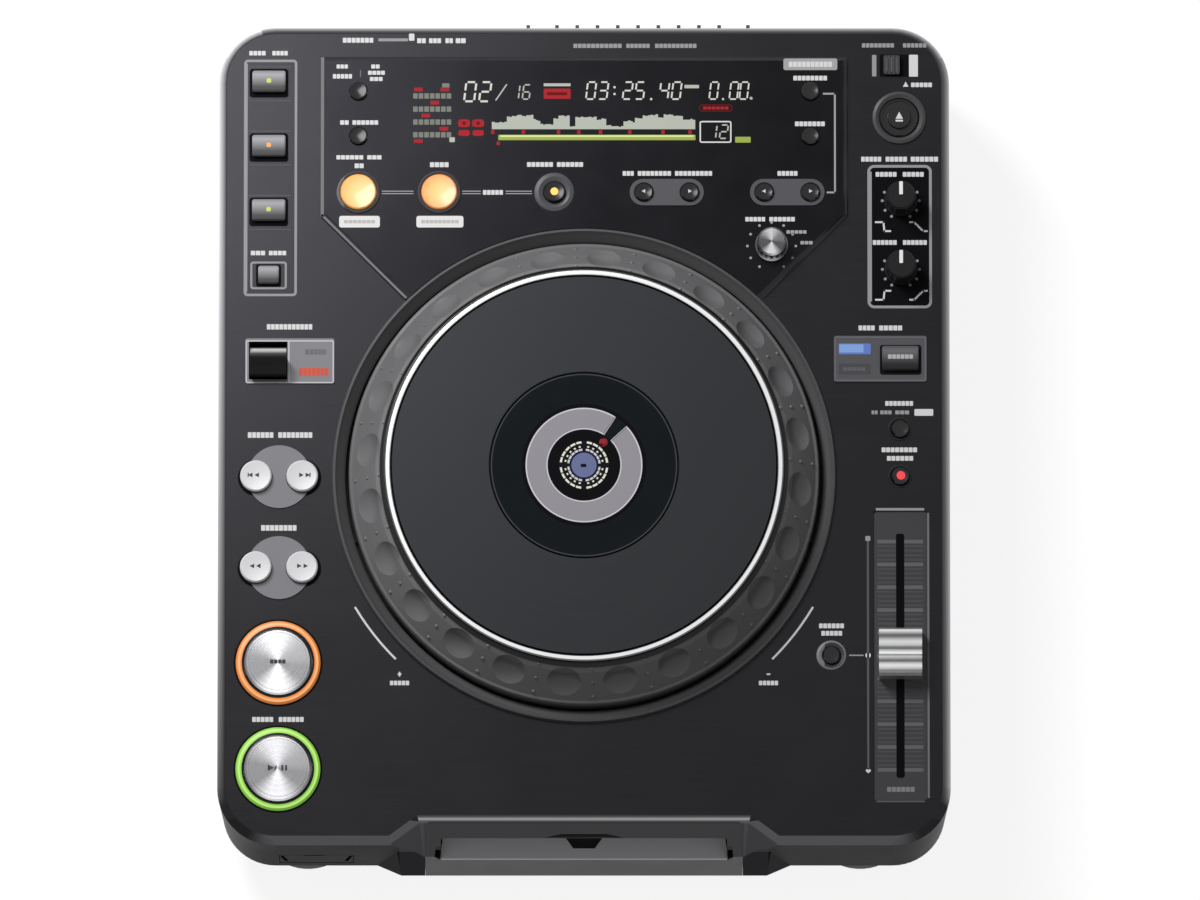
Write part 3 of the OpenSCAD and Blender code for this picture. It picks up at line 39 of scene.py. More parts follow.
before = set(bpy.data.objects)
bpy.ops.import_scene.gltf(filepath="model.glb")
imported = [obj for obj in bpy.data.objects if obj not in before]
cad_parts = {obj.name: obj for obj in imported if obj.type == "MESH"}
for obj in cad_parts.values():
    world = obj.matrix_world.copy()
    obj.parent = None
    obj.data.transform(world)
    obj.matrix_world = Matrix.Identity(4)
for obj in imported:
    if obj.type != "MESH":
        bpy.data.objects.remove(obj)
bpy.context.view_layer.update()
MM = 0.001


# ---------------------------------------------------------------- places taken from the frame

def part_box(node):
    """The lowest and highest corner of a CAD node, in millimetres."""
    return tuple([1000 * value for value in corner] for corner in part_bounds(node))


def middle(*nodes):
    """The middle of one or more CAD nodes in plan, in millimetres."""
    boxes = [part_box(node) for node in nodes]
    low = [min(box[0][axis] for box in boxes) for axis in (0, 1)]
    high = [max(box[1][axis] for box in boxes) for axis in (0, 1)]
    return (low[0] + high[0]) / 2, (low[1] + high[1]) / 2


def top(node):
    return part_box(node)[1][2]


def polar(radius, degrees, x=0.0, y=0.0):
    """A point at a radius and an angle from x, y."""
    angle = math.radians(degrees)
    return x + radius * math.cos(angle), y + radius * math.sin(angle)


WHEEL = middle("jog_wheel")
DISPLAY_TOP = top("display_panel")
PANEL_TOP = DISPLAY_TOP - 2
CASE_LOW, CASE_HIGH = part_box("upper_case")
FRONT = CASE_LOW[1]
HALF_WIDTH = (CASE_HIGH[0] - CASE_LOW[0]) / 2
BEVEL_DROP = 4
NICHE_EDGE_Z = 78.5
SLOT_HALF = 62.4
KNOBS = ("touch_brake_knob", "release_start_knob")
HOT_KEYS = ("hot_key_3", "hot_key_2", "hot_key_1")
SEARCH_KEYS = ("track_back_button", "track_forward_button", "search_back_button", "search_forward_button")
FOLDER_KEYS = ("folder_back_button", "folder_forward_button")
CALL_KEYS = ("call_back_button", "call_forward_button")
SMALL_KEYS = (*FOLDER_KEYS, *CALL_KEYS, "time_mode_button", "text_mode_button", "memory_button", "delete_button",
              "tempo_range_button", "master_tempo_button", "tempo_reset_button", "eject_button", "reloop_button")
LETTER_PITCH = 1.9
LETTER_GAP = 0.24
STROKES = ("abcdef", "bc", "abged", "abgcd", "fgbc", "afgcd", "afgedc", "abc", "abcdefg", "abcdfg")


# ---------------------------------------------------------------- finishes

class Signal:
    """A socket of a node tree; arithmetic on it adds Math nodes to that tree."""

    def __init__(self, nodes, socket):
        self.nodes, self.socket = nodes, socket

    def out(self, name):
        """Another output of the same node."""
        return Signal(self.nodes, self.socket.node.outputs[name])

    def math(self, operation, *others, clamp=False):
        values = dict(enumerate((self, *others)))
        return self.nodes.node("ShaderNodeMath", {"operation": operation, "use_clamp": clamp}, values)

    def swapped(self, operation, first):
        return self.nodes.node("ShaderNodeMath", {"operation": operation}, {0: first, 1: self})

    __add__ = __radd__ = partialmethod(math, "ADD")
    __sub__ = partialmethod(math, "SUBTRACT")
    __mul__ = __rmul__ = partialmethod(math, "MULTIPLY")
    __truediv__ = partialmethod(math, "DIVIDE")
    __gt__ = partialmethod(math, "GREATER_THAN")
    __lt__ = partialmethod(math, "LESS_THAN")
    __or__ = partialmethod(math, "MAXIMUM")
    __abs__ = partialmethod(math, "ABSOLUTE")
    __rsub__ = partialmethod(swapped, "SUBTRACT")
    __rtruediv__ = partialmethod(swapped, "DIVIDE")

    def clamped(self):
        return self.math("ADD", 0.0, clamp=True)

    def within(self, low, high):
        return (self > low) * (self < high)


class Nodes:
    """Adds nodes to a tree and links them."""

    def __init__(self, tree):
        self.tree = tree

    def connect(self, socket, value):
        if isinstance(value, Signal):
            self.tree.links.new(value.socket, socket)
        elif socket.type == "RGBA" and len(value) == 3:
            socket.default_value = (*value, 1.0)
        else:
            socket.default_value = value

    def node(self, kind, settings=None, inputs=None, output=0):
        """Adds a node: its settings or ramp stops first, then the values or links of its sockets."""
        node = self.tree.nodes.new(kind)
        for name, value in (settings or {}).items():
            if name == "stops":
                while len(node.color_ramp.elements) < len(value):
                    node.color_ramp.elements.new(0.5)
                for element, (position, colour) in zip(node.color_ramp.elements, value):
                    element.position, element.color = position, (*colour, 1.0)
            else:
                setattr(node, name, value)
        for name, value in (inputs or {}).items():
            self.connect(node.inputs[name], value)
        return Signal(self, node.outputs[output])

    def behind(self):
        """1 where the camera, a reflection or a glass sees a surface, and 0 for the light on the object."""
        paths = self.node("ShaderNodeLightPath")
        return paths | paths.out("Is Glossy Ray") | paths.out("Is Transmission Ray")


class Finish(Nodes):
    """A material with one Principled BSDF, and the nodes that vary it over the surface."""

    def __init__(self, name, colour, roughness=0.5, metallic=0.0, **fixed):
        self.material = bpy.data.materials.new(name)
        self.material.use_nodes = True
        self.material.diffuse_color = (*colour, 1.0)
        super().__init__(self.material.node_tree)
        self.shader = self.tree.nodes["Principled BSDF"]
        self.set(base_color=colour, roughness=roughness, metallic=metallic, **fixed)

    def set(self, **sockets):
        """Sets or links the shader's sockets, named in lower case with underscores."""
        names = {socket.name.lower().replace(" ", "_"): socket for socket in self.shader.inputs}
        for name, value in sockets.items():
            self.connect(names[name], value)
        return self

    def base(self):
        """What gives the base colour so far."""
        socket = self.shader.inputs["Base Color"]
        return Signal(self, socket.links[0].from_socket) if socket.is_linked else tuple(socket.default_value)

    def place(self):
        """The point on the object in millimetres, at rest the same as in the CAD model."""
        point = self.node("ShaderNodeTexCoord", output="Object")
        return self.node("ShaderNodeVectorMath", {"operation": "SCALE"}, {0: point, "Scale": 1000.0})

    def split(self, vector):
        parts = self.node("ShaderNodeSeparateXYZ", inputs={0: vector})
        return parts, parts.out("Y"), parts.out("Z")

    def axes(self):
        return self.split(self.place())

    def leaning(self):
        """The surface's own direction, as its parts along X, Y and Z."""
        return self.split(self.node("ShaderNodeTexCoord", output="Normal"))

    def around(self, centre):
        """Distance and angle about an upright axis."""
        x, y, _ = self.axes()
        x, y = x - centre[0], y - centre[1]
        return (x * x + y * y).math("SQRT"), y.math("ARCTAN2", x)

    def from_rear(self, node):
        """0 at a CAD node's rear edge and 1 at its front edge."""
        low, high = part_box(node)
        return (high[1] - self.axes()[1]) / (high[1] - low[1])

    def noise(self, scale, detail=2.0, stretch=(1, 1, 1), vector=None):
        point = vector or self.place()
        if stretch != (1, 1, 1):
            point = self.node("ShaderNodeVectorMath", {"operation": "MULTIPLY"}, {0: point, 1: stretch})
        return self.node("ShaderNodeTexNoise", None, {"Vector": point, "Scale": scale, "Detail": detail})

    def mix(self, factor, first, second, blend="MIX"):
        settings = {"data_type": "RGBA", "blend_type": blend}
        return self.node("ShaderNodeMix", settings, {0: factor, 6: first, 7: second}, output=2)

    def grey(self, value, blue=None):
        """A colour of equal red and green, and of the same or another blue."""
        return self.node("ShaderNodeCombineColor", None, {0: value, 1: value, 2: blue or value})

    def paint(self, mask, colour):
        """Lays another colour over the base colour where the mask is 1."""
        return self.set(base_color=self.mix(mask, self.base(), colour))

    def band(self, centre, inner, outer, colour):
        """Paints a ring about an upright axis."""
        return self.paint(self.around(centre)[0].within(inner, outer), colour)

    def shade(self, value):
        """Multiplies the base colour."""
        return self.set(base_color=self.mix(1.0, self.base(), self.grey(value), "MULTIPLY"))

    def vary(self, mask, amount):
        """Makes the base colour lighter and darker with a mask from 0 to 1."""
        return self.shade(mask * (2 * amount) + (1 - amount))

    def emboss(self, height, depth):
        """Bump from a height of 0 to 1 that stands for a depth in millimetres."""
        return self.set(normal=self.node("ShaderNodeBump", None, {"Height": height, "Distance": depth * MM}))


def moulded(name, colour, roughness=0.42, grain=0.03, gloss=0.25):
    """Moulded plastic with a fine grain, cloudy sheen and slight shifts of colour."""
    finish = Finish(name, colour, roughness, specular_ior_level=gloss)
    cloud = finish.noise(0.05, 3.0)
    fine = finish.noise(4.0, 3.0)
    finish.vary(cloud * 0.6 + fine * 0.4, 0.12)
    finish.set(roughness=cloud * 0.1 + fine * 0.06 + (roughness - 0.08))
    return finish.emboss(fine, grain) if grain else finish


def hairline(name, colour, roughness=0.36, across=(0.03, 5.0, 5.0), depth=0.01, **fixed):
    """A satin surface with fine brushed lines."""
    finish = Finish(name, colour, roughness, **fixed)
    lines = finish.noise(1.0, 4.0, across)
    cloud = finish.noise(0.03, 2.0)
    finish.vary(lines * 0.7 + cloud * 0.3, 0.22)
    finish.set(roughness=lines * 0.16 + cloud * 0.06 + (roughness - 0.11))
    return finish.emboss(lines, depth)


def turned(name, colour, centre, roughness=0.3, metallic=1.0, pitch=0.3, depth=0.02, vary=0.1, painted_sheen=0.0, **fixed):
    """A surface turned on a lathe: fine rings round an upright axis; its last named argument paints a front-to-back
    sheen into the colour, light and dark wedges that are a painted highlight.
    """
    finish = Finish(name, colour, roughness, metallic, **fixed)
    distance, angle = finish.around(centre)
    if painted_sheen:
        # Painted highlight: light and dark wedges of sheen laid into the base colour by angle.
        painted_wedge_sheen = (angle * 2).math("COSINE") * -0.5 + 0.5
        second = (angle * 3 + 0.6).math("SINE") * 0.16
        finish.vary((painted_wedge_sheen * painted_wedge_sheen + second).clamped(), painted_sheen)
    ring = finish.node("ShaderNodeCombineXYZ", None, {0: distance / pitch, 1: angle * 0.3})
    lines = finish.noise(1.0, 3.0, vector=ring)
    finish.vary(lines, vary)
    finish.set(roughness=lines * 0.12 + (roughness - 0.06))
    return finish.emboss(lines, depth)


def ink(name, colour, glow=0.0):
    """Flat ink for printed marks and for painted shade and highlights, slightly uneven; glow makes it a lit mark."""
    finish = Finish(name, colour, 0.45, specular_ior_level=0.02)
    finish.vary(finish.noise(6.0, 2.0), 0.06)
    if glow:
        lit = finish.mix(finish.noise(1.5, 1.0), colour, tuple(min(1.0, c * 1.25) for c in colour))
        finish.set(emission_color=lit, emission_strength=glow)
    return finish


def lamp_cap(name, colour, glow, centre, reach, edge):
    """A lit translucent cap, brightest in its middle and deeper in colour at its edge."""
    finish = Finish(name, colour, 0.28, coat_weight=0.4, coat_roughness=0.08)
    fade = (finish.around(centre)[0] / reach).clamped()
    lit = finish.mix(fade * fade, colour, edge)
    finish.set(base_color=lit, emission_color=lit, emission_strength=glow)
    return finish.emboss(finish.noise(3.0, 2.0), 0.01)


def dress(finish, *nodes):
    """Gives CAD nodes a finish."""
    for node in nodes:
        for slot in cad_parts[node].material_slots:
            slot.link = "OBJECT"
            slot.material = finish.material


# ---------------------------------------------------------------- pieces that only the scene has

def piece_from(mesh, name, finishes, body, smooth=False):
    """Makes a piece that rides with a body and takes the given finishes."""
    data = bpy.data.meshes.new(name)
    mesh.to_mesh(data)
    mesh.free()
    for finish in finishes:
        data.materials.append(finish.material)
    for polygon in data.polygons:
        polygon.use_smooth = smooth
    piece = bpy.data.objects.new(name, data)
    bpy.context.scene.collection.objects.link(piece)
    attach(piece, body)


class Marks:
    """Flat marks laid on a surface: one thin piece with a slot for each ink."""

    def __init__(self, name, body, slot, level, origin=(0.0, 0.0)):
        self.name, self.body, self.slot = name, body, slot
        self.level = level if callable(level) else lambda x, y: level
        self.origin = origin
        self.mesh = bmesh.new()
        self.inks = []
        self.lift = 0.03

    def above(self):
        """The marks from here on lie over the earlier ones."""
        self.lift += 0.015

    def face(self, points, finish):
        """Adds one flat outline, counter-clockwise from above."""
        if finish not in self.inks:
            self.inks.append(finish)
        corners = []
        for x, y in points:
            x, y = x + self.origin[0], y + self.origin[1]
            corners.append(self.mesh.verts.new((x * MM, y * MM, (self.level(x, y) + self.lift) * MM)))
        self.mesh.faces.new(corners).material_index = self.inks.index(finish)

    def bar(self, x, y, width, depth, finish, radius=0.0, turn=0.0):
        """A rectangle with round corners about its middle."""
        radius = min(radius, width / 2 - 1e-3, depth / 2 - 1e-3)
        cosine, sine = polar(1, turn)
        outline = []
        for quarter, (sx, sy) in enumerate(((1, 1), (-1, 1), (-1, -1), (1, -1))):
            for step in (0, 22.5, 45, 67.5, 90) if radius > 0 else (45,):
                u, v = polar(radius, 90 * quarter + step, sx * (width / 2 - radius), sy * (depth / 2 - radius))
                outline.append((x + cosine * u - sine * v, y + sine * u + cosine * v))
        self.face(outline, finish)

    def bars(self, *rows):
        for row in rows:
            self.bar(*row)

    def span(self, x0, x1, y, depth, finish, radius=0.3):
        self.bar((x0 + x1) / 2, y, x1 - x0, depth, finish, radius)

    def captions(self, finish, *lines):
        """Rows of plain blocks for letters: each line is its y, its depth and the two ends of each word."""
        for y, depth, *ends in lines:
            for x0, x1 in zip(ends[::2], ends[1::2]):
                count = max(1, round((x1 - x0) / LETTER_PITCH))
                step = (x1 - x0) / count
                for letter in range(count):
                    self.bar(x0 + (letter + 0.5) * step, y, step - LETTER_GAP, depth, finish, 0.25)

    def ring(self, x, y, outer, inner, finish, start=0.0, end=360.0):
        steps = max(6, int(abs(end - start) / 5))
        angles = [start + (end - start) * i / steps for i in range(steps + 1)]
        for a, b in zip(angles, angles[1:]):
            self.face([polar(r, turn, x, y) for r, turn in ((outer, a), (outer, b), (inner, b), (inner, a))], finish)

    def dot(self, x, y, radius, finish, sides=20):
        self.face([polar(radius, 360 * i / sides, x, y) for i in range(sides)], finish)

    def line(self, points, width, finish):
        """Straight strokes joined end to end."""
        for (x0, y0), (x1, y1) in zip(points, points[1:]):
            length = math.hypot(x1 - x0, y1 - y0)
            turn = math.degrees(math.atan2(y1 - y0, x1 - x0))
            self.bar((x0 + x1) / 2, (y0 + y1) / 2, length + width * 0.9, width, finish, width * 0.3, turn)

    def outline(self, x0, y0, x1, y1, radius, width, finish, left=None):
        """A frame with round corners; left is the width of its left side."""
        left = left or width
        for y in (y1 - width / 2, y0 + width / 2):
            self.span(x0 + radius, x1 - radius, y, width, finish, 0)
        for x, wide in ((x0 + left / 2, left), (x1 - width / 2, width)):
            self.bar(x, (y0 + y1) / 2, wide, y1 - y0 - 2 * radius, finish)
        for x, y, start in ((x1 - radius, y1 - radius, 0), (x0 + radius, y1 - radius, 90),
                            (x0 + radius, y0 + radius, 180), (x1 - radius, y0 + radius, 270)):
            self.ring(x, y, radius, radius - width, finish, start, start + 90)

    def triangle(self, x, y, size, finish, turn=0.0):
        """An arrow head that points along +X before it is turned."""
        self.face([polar(size, turn + step, x, y) for step in (0, 125, 235)], finish)

    def figures(self, text, x, y, width, height, step, finish):
        """Figures, points and colons from left to right, the first one's lower left corner at x, y."""
        for sign in text:
            if sign.isdigit():
                self.digit(int(sign), x, y, width, height, finish)
            for share in {".": (0,), ":": (0.3, 0.7)}.get(sign, ()):
                self.bar(x + width / 2, y + height * share, width * 0.25, width * 0.25, finish)
            x += step

    def digit(self, value, x, y, width, height, finish):
        """A leaning figure of seven strokes."""
        weight, half, lean = width * 0.2, height / 2, 0.12
        places = {"a": (width / 2, height), "g": (width / 2, half), "d": (width / 2, 0), "f": (0, 1.5 * half),
                  "b": (width, 1.5 * half), "e": (0, 0.5 * half), "c": (width, 0.5 * half)}
        for stroke in STROKES[value]:
            u, v = places[stroke]
            wide, high = (width - 1.3 * weight, weight) if stroke in "agd" else (weight, half - 1.3 * weight)
            corners = [(u + a * wide / 2, v + b * high / 2) for a, b in ((-1, -1), (1, -1), (1, 1), (-1, 1))]
            self.face([(x + p + q * lean, y + q) for p, q in corners], finish)

    def build(self):
        bmesh.ops.recalc_face_normals(self.mesh, faces=self.mesh.faces)
        for face in self.mesh.faces:
            if face.normal.z < 0:
                face.normal_flip()
        piece_from(self.mesh, self.name, self.inks, self.body)


def crown(node):
    """The top of a key, hollowed or level, as a height over x and y."""
    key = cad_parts[node]

    def height(x, y):
        met, place, _, _ = key.ray_cast((x * MM, y * MM, 1.0), (0, 0, -1))
        return place.z / MM if met else top(node)
    return height


def cap_mark(node, slot, *shapes, level=None, name=None):
    """A mark on a key or knob, from its middle: each shape is a method of Marks and what it takes."""
    marks = Marks(name or node + "_mark", node, slot, level or crown(node), middle(node))
    for shape, *values in shapes:
        getattr(marks, shape)(*values)
    marks.build()


# ---------------------------------------------------------------- settings

def colour(name, description, default):
    return FloatVectorProperty(name=name, description=description, default=default,
                               subtype="COLOR", size=3, min=0, max=1)


def size(name, description, default, low, high, **kind):
    return FloatProperty(name=name, description=description, default=default, min=low, max=high, **kind)


class PlayerColours(bpy.types.PropertyGroup):
    """Colours of the player's finishes."""

    case: colour("Case", "Charcoal of the satin case", (0.0165, 0.0165, 0.0183))
    display: colour("Display panel", "Black of the raised panel", (0.0098, 0.0098, 0.0114))
    wheel: colour("Jog wheel", "Dark grey of the wheel's slope", (0.125, 0.125, 0.129))
    plate: colour("Touch plate", "Grey of the touch plate", (0.0205, 0.0218, 0.0237))
    silver: colour("Silver", "Silver of the caps and rings", (0.42, 0.42, 0.435))
    trim: colour("Trim", "Grey of the trims behind the keys", (0.172, 0.168, 0.184))
    cue: colour("Cue light", "Orange of the cue key's ring", (0.6, 0.19, 0.045))
    play: colour("Play light", "Green of the play key's ring", (0.2, 0.47, 0.055))
    amber: colour("Loop light", "Amber of the lit loop keys", (0.82, 0.53, 0.17))
    picture: colour("Picture", "Pale marks of the display", (0.36, 0.38, 0.33))
    print: colour("Print", "White of the printed marks", (0.62, 0.62, 0.62))


class PlayerSizes(bpy.types.PropertyGroup):
    """Sizes of the marks and of the light."""

    bump_radius: size("Bump radius", "Radius of the small bumps on the wheel", 0.0009, 0.0004, 0.0015, unit="LENGTH")
    bump_rows: IntProperty(name="Bump rows", description="Rows of bumps round the wheel",
                           default=24, min=12, max=36)
    dot_ring: size("Dot ring", "Radius of the dots round a knob", 0.0081, 0.007, 0.01, unit="LENGTH")
    camera_distance: size("Camera distance", "Distance from the camera to the player", 12.0, 2, 15, unit="LENGTH")
    key_light: size("Key light", "Power of the soft lamp behind on the left", 25.0, 0, 80, unit="POWER")
    top_light: size("Top light", "Power of the soft box above", 3.7, 0, 20, unit="POWER")
    world_light: size("World light", "Strength of the light from all round", 0.22, 0, 1, subtype="FACTOR")


def colours():
    return bpy.context.scene.player_colours


def sizes():
    return bpy.context.scene.player_sizes


# ---------------------------------------------------------------- the pieces

class PLAYER_OT_case(bpy.types.Operator):
    """Charcoal case with fine brushed lines, its base, feet and screws"""

    bl_idname = "player.case"
    bl_label = "Case"

    def execute(self, context):
        case = hairline("case_charcoal", colours().case, 0.31, metallic=1.0, specular_tint=(0.27, 0.27, 0.27))
        self.edges(case)
        dress(case, "upper_case", "card_door")
        slot = moulded("slot_grey", (0.055, 0.055, 0.058), 0.4, gloss=0.1)
        x, y, z = slot.axes()
        # The ramp below the slot is painted pale grey, partly its own paler tone and partly lighter to make up for the
        # shade inside the slot.
        slot.paint(z.within(44, 54.5) * (y > FRONT + 0.8) * x.within(-SLOT_HALF, SLOT_HALF), (0.6, 0.59, 0.63))
        # The slits at the ramp's ends are painted black: painted shade of gaps that are not cut in the moulding.
        slot.paint(z.within(43, 58) * abs(x).within(SLOT_HALF, 64.8), (0.004, 0.004, 0.004))
        dress(slot, "disc_slot_bezel")
        steel = hairline("painted_steel", (0.03, 0.03, 0.032), 0.5, (3.0, 0.05, 3.0), metallic=0.3)
        dress(steel, "bottom_chassis")
        feet = moulded("foot_rubber", (0.02, 0.02, 0.021), 0.6, 0.05)
        dress(feet.paint(feet.axes()[2] < 3.2, (0.045, 0.045, 0.045)), "feet")
        dress(turned("zinc_screw", (0.5, 0.5, 0.52), (0, 0), 0.35, pitch=1.0), "case_screws")
        return {"FINISHED"}

    def edges(self, case):
        """The bevel round the top with painted highlights, lightest on the left, with more towards the rear, less on
        the right and faint on the front; the niche's slopes painted lighter as a painted sheen; and a painted highlight
        line on the niche's rear edge.
        """
        across, back, up = case.leaning()
        x, y, z = case.axes()
        slanted = up.within(0.5, 0.8)
        # Painted highlight on the top bevel: its brightness is laid into the colour by the way each side faces.
        fall = ((PANEL_TOP - z) / BEVEL_DROP).clamped()
        painted_bevel_highlight = (fall * 1.3).clamped() * 0.6 + (fall * 4 - 3).clamped() * 0.3
        right = fall * fall * 0.36 + 0.04
        left = painted_bevel_highlight * ((y + 154) * 0.0033 + 0.16).clamped()
        side = (back * 4.4 + 1.1).clamped()
        rear = (back > 0.35) * fall * fall * fall * 0.24
        front = (back * -9.0 - 5.8).clamped()
        bright = ((across < -0.2) * (left - right) + right + rear) * side + front * 0.06 + 0.022
        bevel = slanted * ((y > FRONT + 14) | front)
        case.paint(bevel, case.grey(bright, bright * 1.04))
        # The niche's flanks and cheeks are painted lighter than the case: a painted sheen for light they should
        # reflect.
        flank = abs(across).within(0.3, 0.95) | abs(x).within(68, 80.7)
        painted_cheek_sheen = flank * (z > 12) * (up < 0.75) * (y < FRONT + 13) * x.within(-99, 99)
        case.paint(painted_cheek_sheen, (0.08, 0.08, 0.085))
        # A painted highlight line along the niche's rear edge, brightest at its middle height.
        lip = slanted * back.within(-0.85, -0.6) * x.within(-97, 97) * y.within(FRONT + 8, FRONT + 24)
        line = (1.0 - abs(z - NICHE_EDGE_Z) / 1.3).clamped()
        case.paint(lip * line * line, (0.36, 0.36, 0.375))


class PLAYER_OT_jog(bpy.types.Operator):
    """Jog wheel with its bright ring, touch plate, bezel and rows of small bumps"""

    bl_idname = "player.jog"
    bl_label = "Jog wheel"

    def execute(self, context):
        slope = turned("wheel_grey", colours().wheel, WHEEL, 0.3, 0.0, 0.9, 0.006, 0.12, specular_ior_level=0.2)
        # Painted shade: the slope is black inside r 89.2, the gap beside the ring; from r 89.6 to 91 a painted
        # highlight on the slope's rounded top edge.
        slope.band(WHEEL, -1, 89.2, (0.006, 0.006, 0.006)).band(WHEEL, 89.6, 91.0, (0.17, 0.17, 0.175))
        dress(slope, "jog_wheel")
        bezel = moulded("bezel_black", (0.07, 0.07, 0.073), 0.35)
        # The bezel's inner funnel is painted lighter: painted light that makes up for the shade it lies in.
        dress(bezel.band(WHEEL, -1, 107.6, (0.085, 0.085, 0.088)), "jog_bezel")
        ring = turned("bright_ring", (0.12, 0.12, 0.122), WHEEL, 0.2, 1.0, 0.5, 0.004, 0.05)
        # Only the ring's middle band is bright metal; to both sides the ring is painted dark, painted shade of its
        # edges.
        dress(ring.band(WHEEL, 84.8, 86.6, (0.72, 0.72, 0.73)), "jog_trim_ring")
        plate = turned("touch_plate_grey", colours().plate, WHEEL, 0.38, 1.0, 0.35, 0.006, 0.08,
                       specular_tint=(0.5, 0.5, 0.5))
        dress(plate, "jog_plate")
        dress(moulded("dish_black", (0.02, 0.02, 0.02), 0.5), "jog_base")
        window = Finish("round_window", (0.0095, 0.0115, 0.0128), 0.12, 1.0, specular_tint=(0.3, 0.3, 0.3))
        dress(window.set(roughness=window.noise(0.08, 3.0) * 0.1 + 0.1), "jog_display")
        self.bumps(slope)
        return {"FINISHED"}

    def bumps(self, finish):
        """Three small domes in a row between each two dimples of the slope."""
        ring_low, ring_high = part_box("jog_trim_ring")
        wheel_low, wheel_high = part_box("jog_wheel")
        inner = Vector(((ring_high[0] - ring_low[0]) / 2 + 0.7, ring_low[2] + 0.2))
        outer = Vector(((wheel_high[0] - wheel_low[0]) / 2 - 1.6, ring_high[2] - 19.5))
        rows = sizes().bump_rows
        mesh = bmesh.new()
        for row in range(rows):
            for share in (0.12, 0.5, 0.88):
                distance, height = inner.lerp(outer, share)
                x, y = polar(distance, 360 * (row + 0.5) / rows - 95.3, *WHEEL)
                dome = bmesh.ops.create_icosphere(mesh, subdivisions=2, radius=sizes().bump_radius)
                for vertex in dome["verts"]:
                    vertex.co.z *= 0.75
                    vertex.co += Vector((x, y, height - 0.15)) * MM
        piece_from(mesh, "wheel_bumps", [finish], "jog_wheel", smooth=True)


class PLAYER_OT_round_display(bpy.types.Operator):
    """The picture of the round display in the wheel's middle"""

    bl_idname = "player.round_display"
    bl_label = "Round display"

    def execute(self, context):
        marks = Marks("round_display_picture", "chassis", "display_black", top("jog_display"), WHEEL)
        rim = ink("window_rim", (0.05, 0.05, 0.053))
        grey = ink("picture_grey", (0.27, 0.262, 0.285), 0.02)
        edge = ink("picture_edge", (0.55, 0.54, 0.57), 0.05)
        pale = ink("picture_pale", (0.6, 0.6, 0.5), 0.2)
        black = ink("picture_black", (0.004, 0.004, 0.005))
        open_ends = (57.5, 402.5)
        for outer, inner, tone, *ends in (
                (40.7, 40.1, rim), (27.2, 25.5, black), (25.5, 24.9, edge, *open_ends),
                (24.9, 16.4, grey, *open_ends), (16.4, 15.9, edge, *open_ends), (15.9, 10.9, black)):
            marks.ring(0, 0, outer, inner, tone, *ends)
        for side in open_ends:
            marks.line([polar(radius, side) for radius in (15.9, 25.4)], 0.5, edge)
        for start in (90 * quarter + 5 + 16 * part for quarter in range(4) for part in range(5)):
            marks.ring(0, 0, 10.6, 9.7, pale, start + 1, start + 14)
            marks.ring(0, 0, 8.6, 7.9, pale, start + 5, start + 11)
            marks.ring(0, 0, 7.3, 6.4, edge, start + 1, start + 14)
        marks.dot(0, 0, 5.9, ink("picture_blue", (0.13, 0.15, 0.28), 0.05), 32)
        marks.ring(0, 0, 5.9, 5.5, ink("picture_deep_blue", (0.07, 0.09, 0.3), 0.1))
        marks.bar(-0.2, -0.2, 2.6, 1.5, ink("picture_dim", (0.16, 0.16, 0.2), 0.05), 0.6)
        marks.dot(8.5, 10.1, 1.9, ink("picture_red", (0.8, 0.08, 0.1), 0.4))
        marks.build()
        return {"FINISHED"}


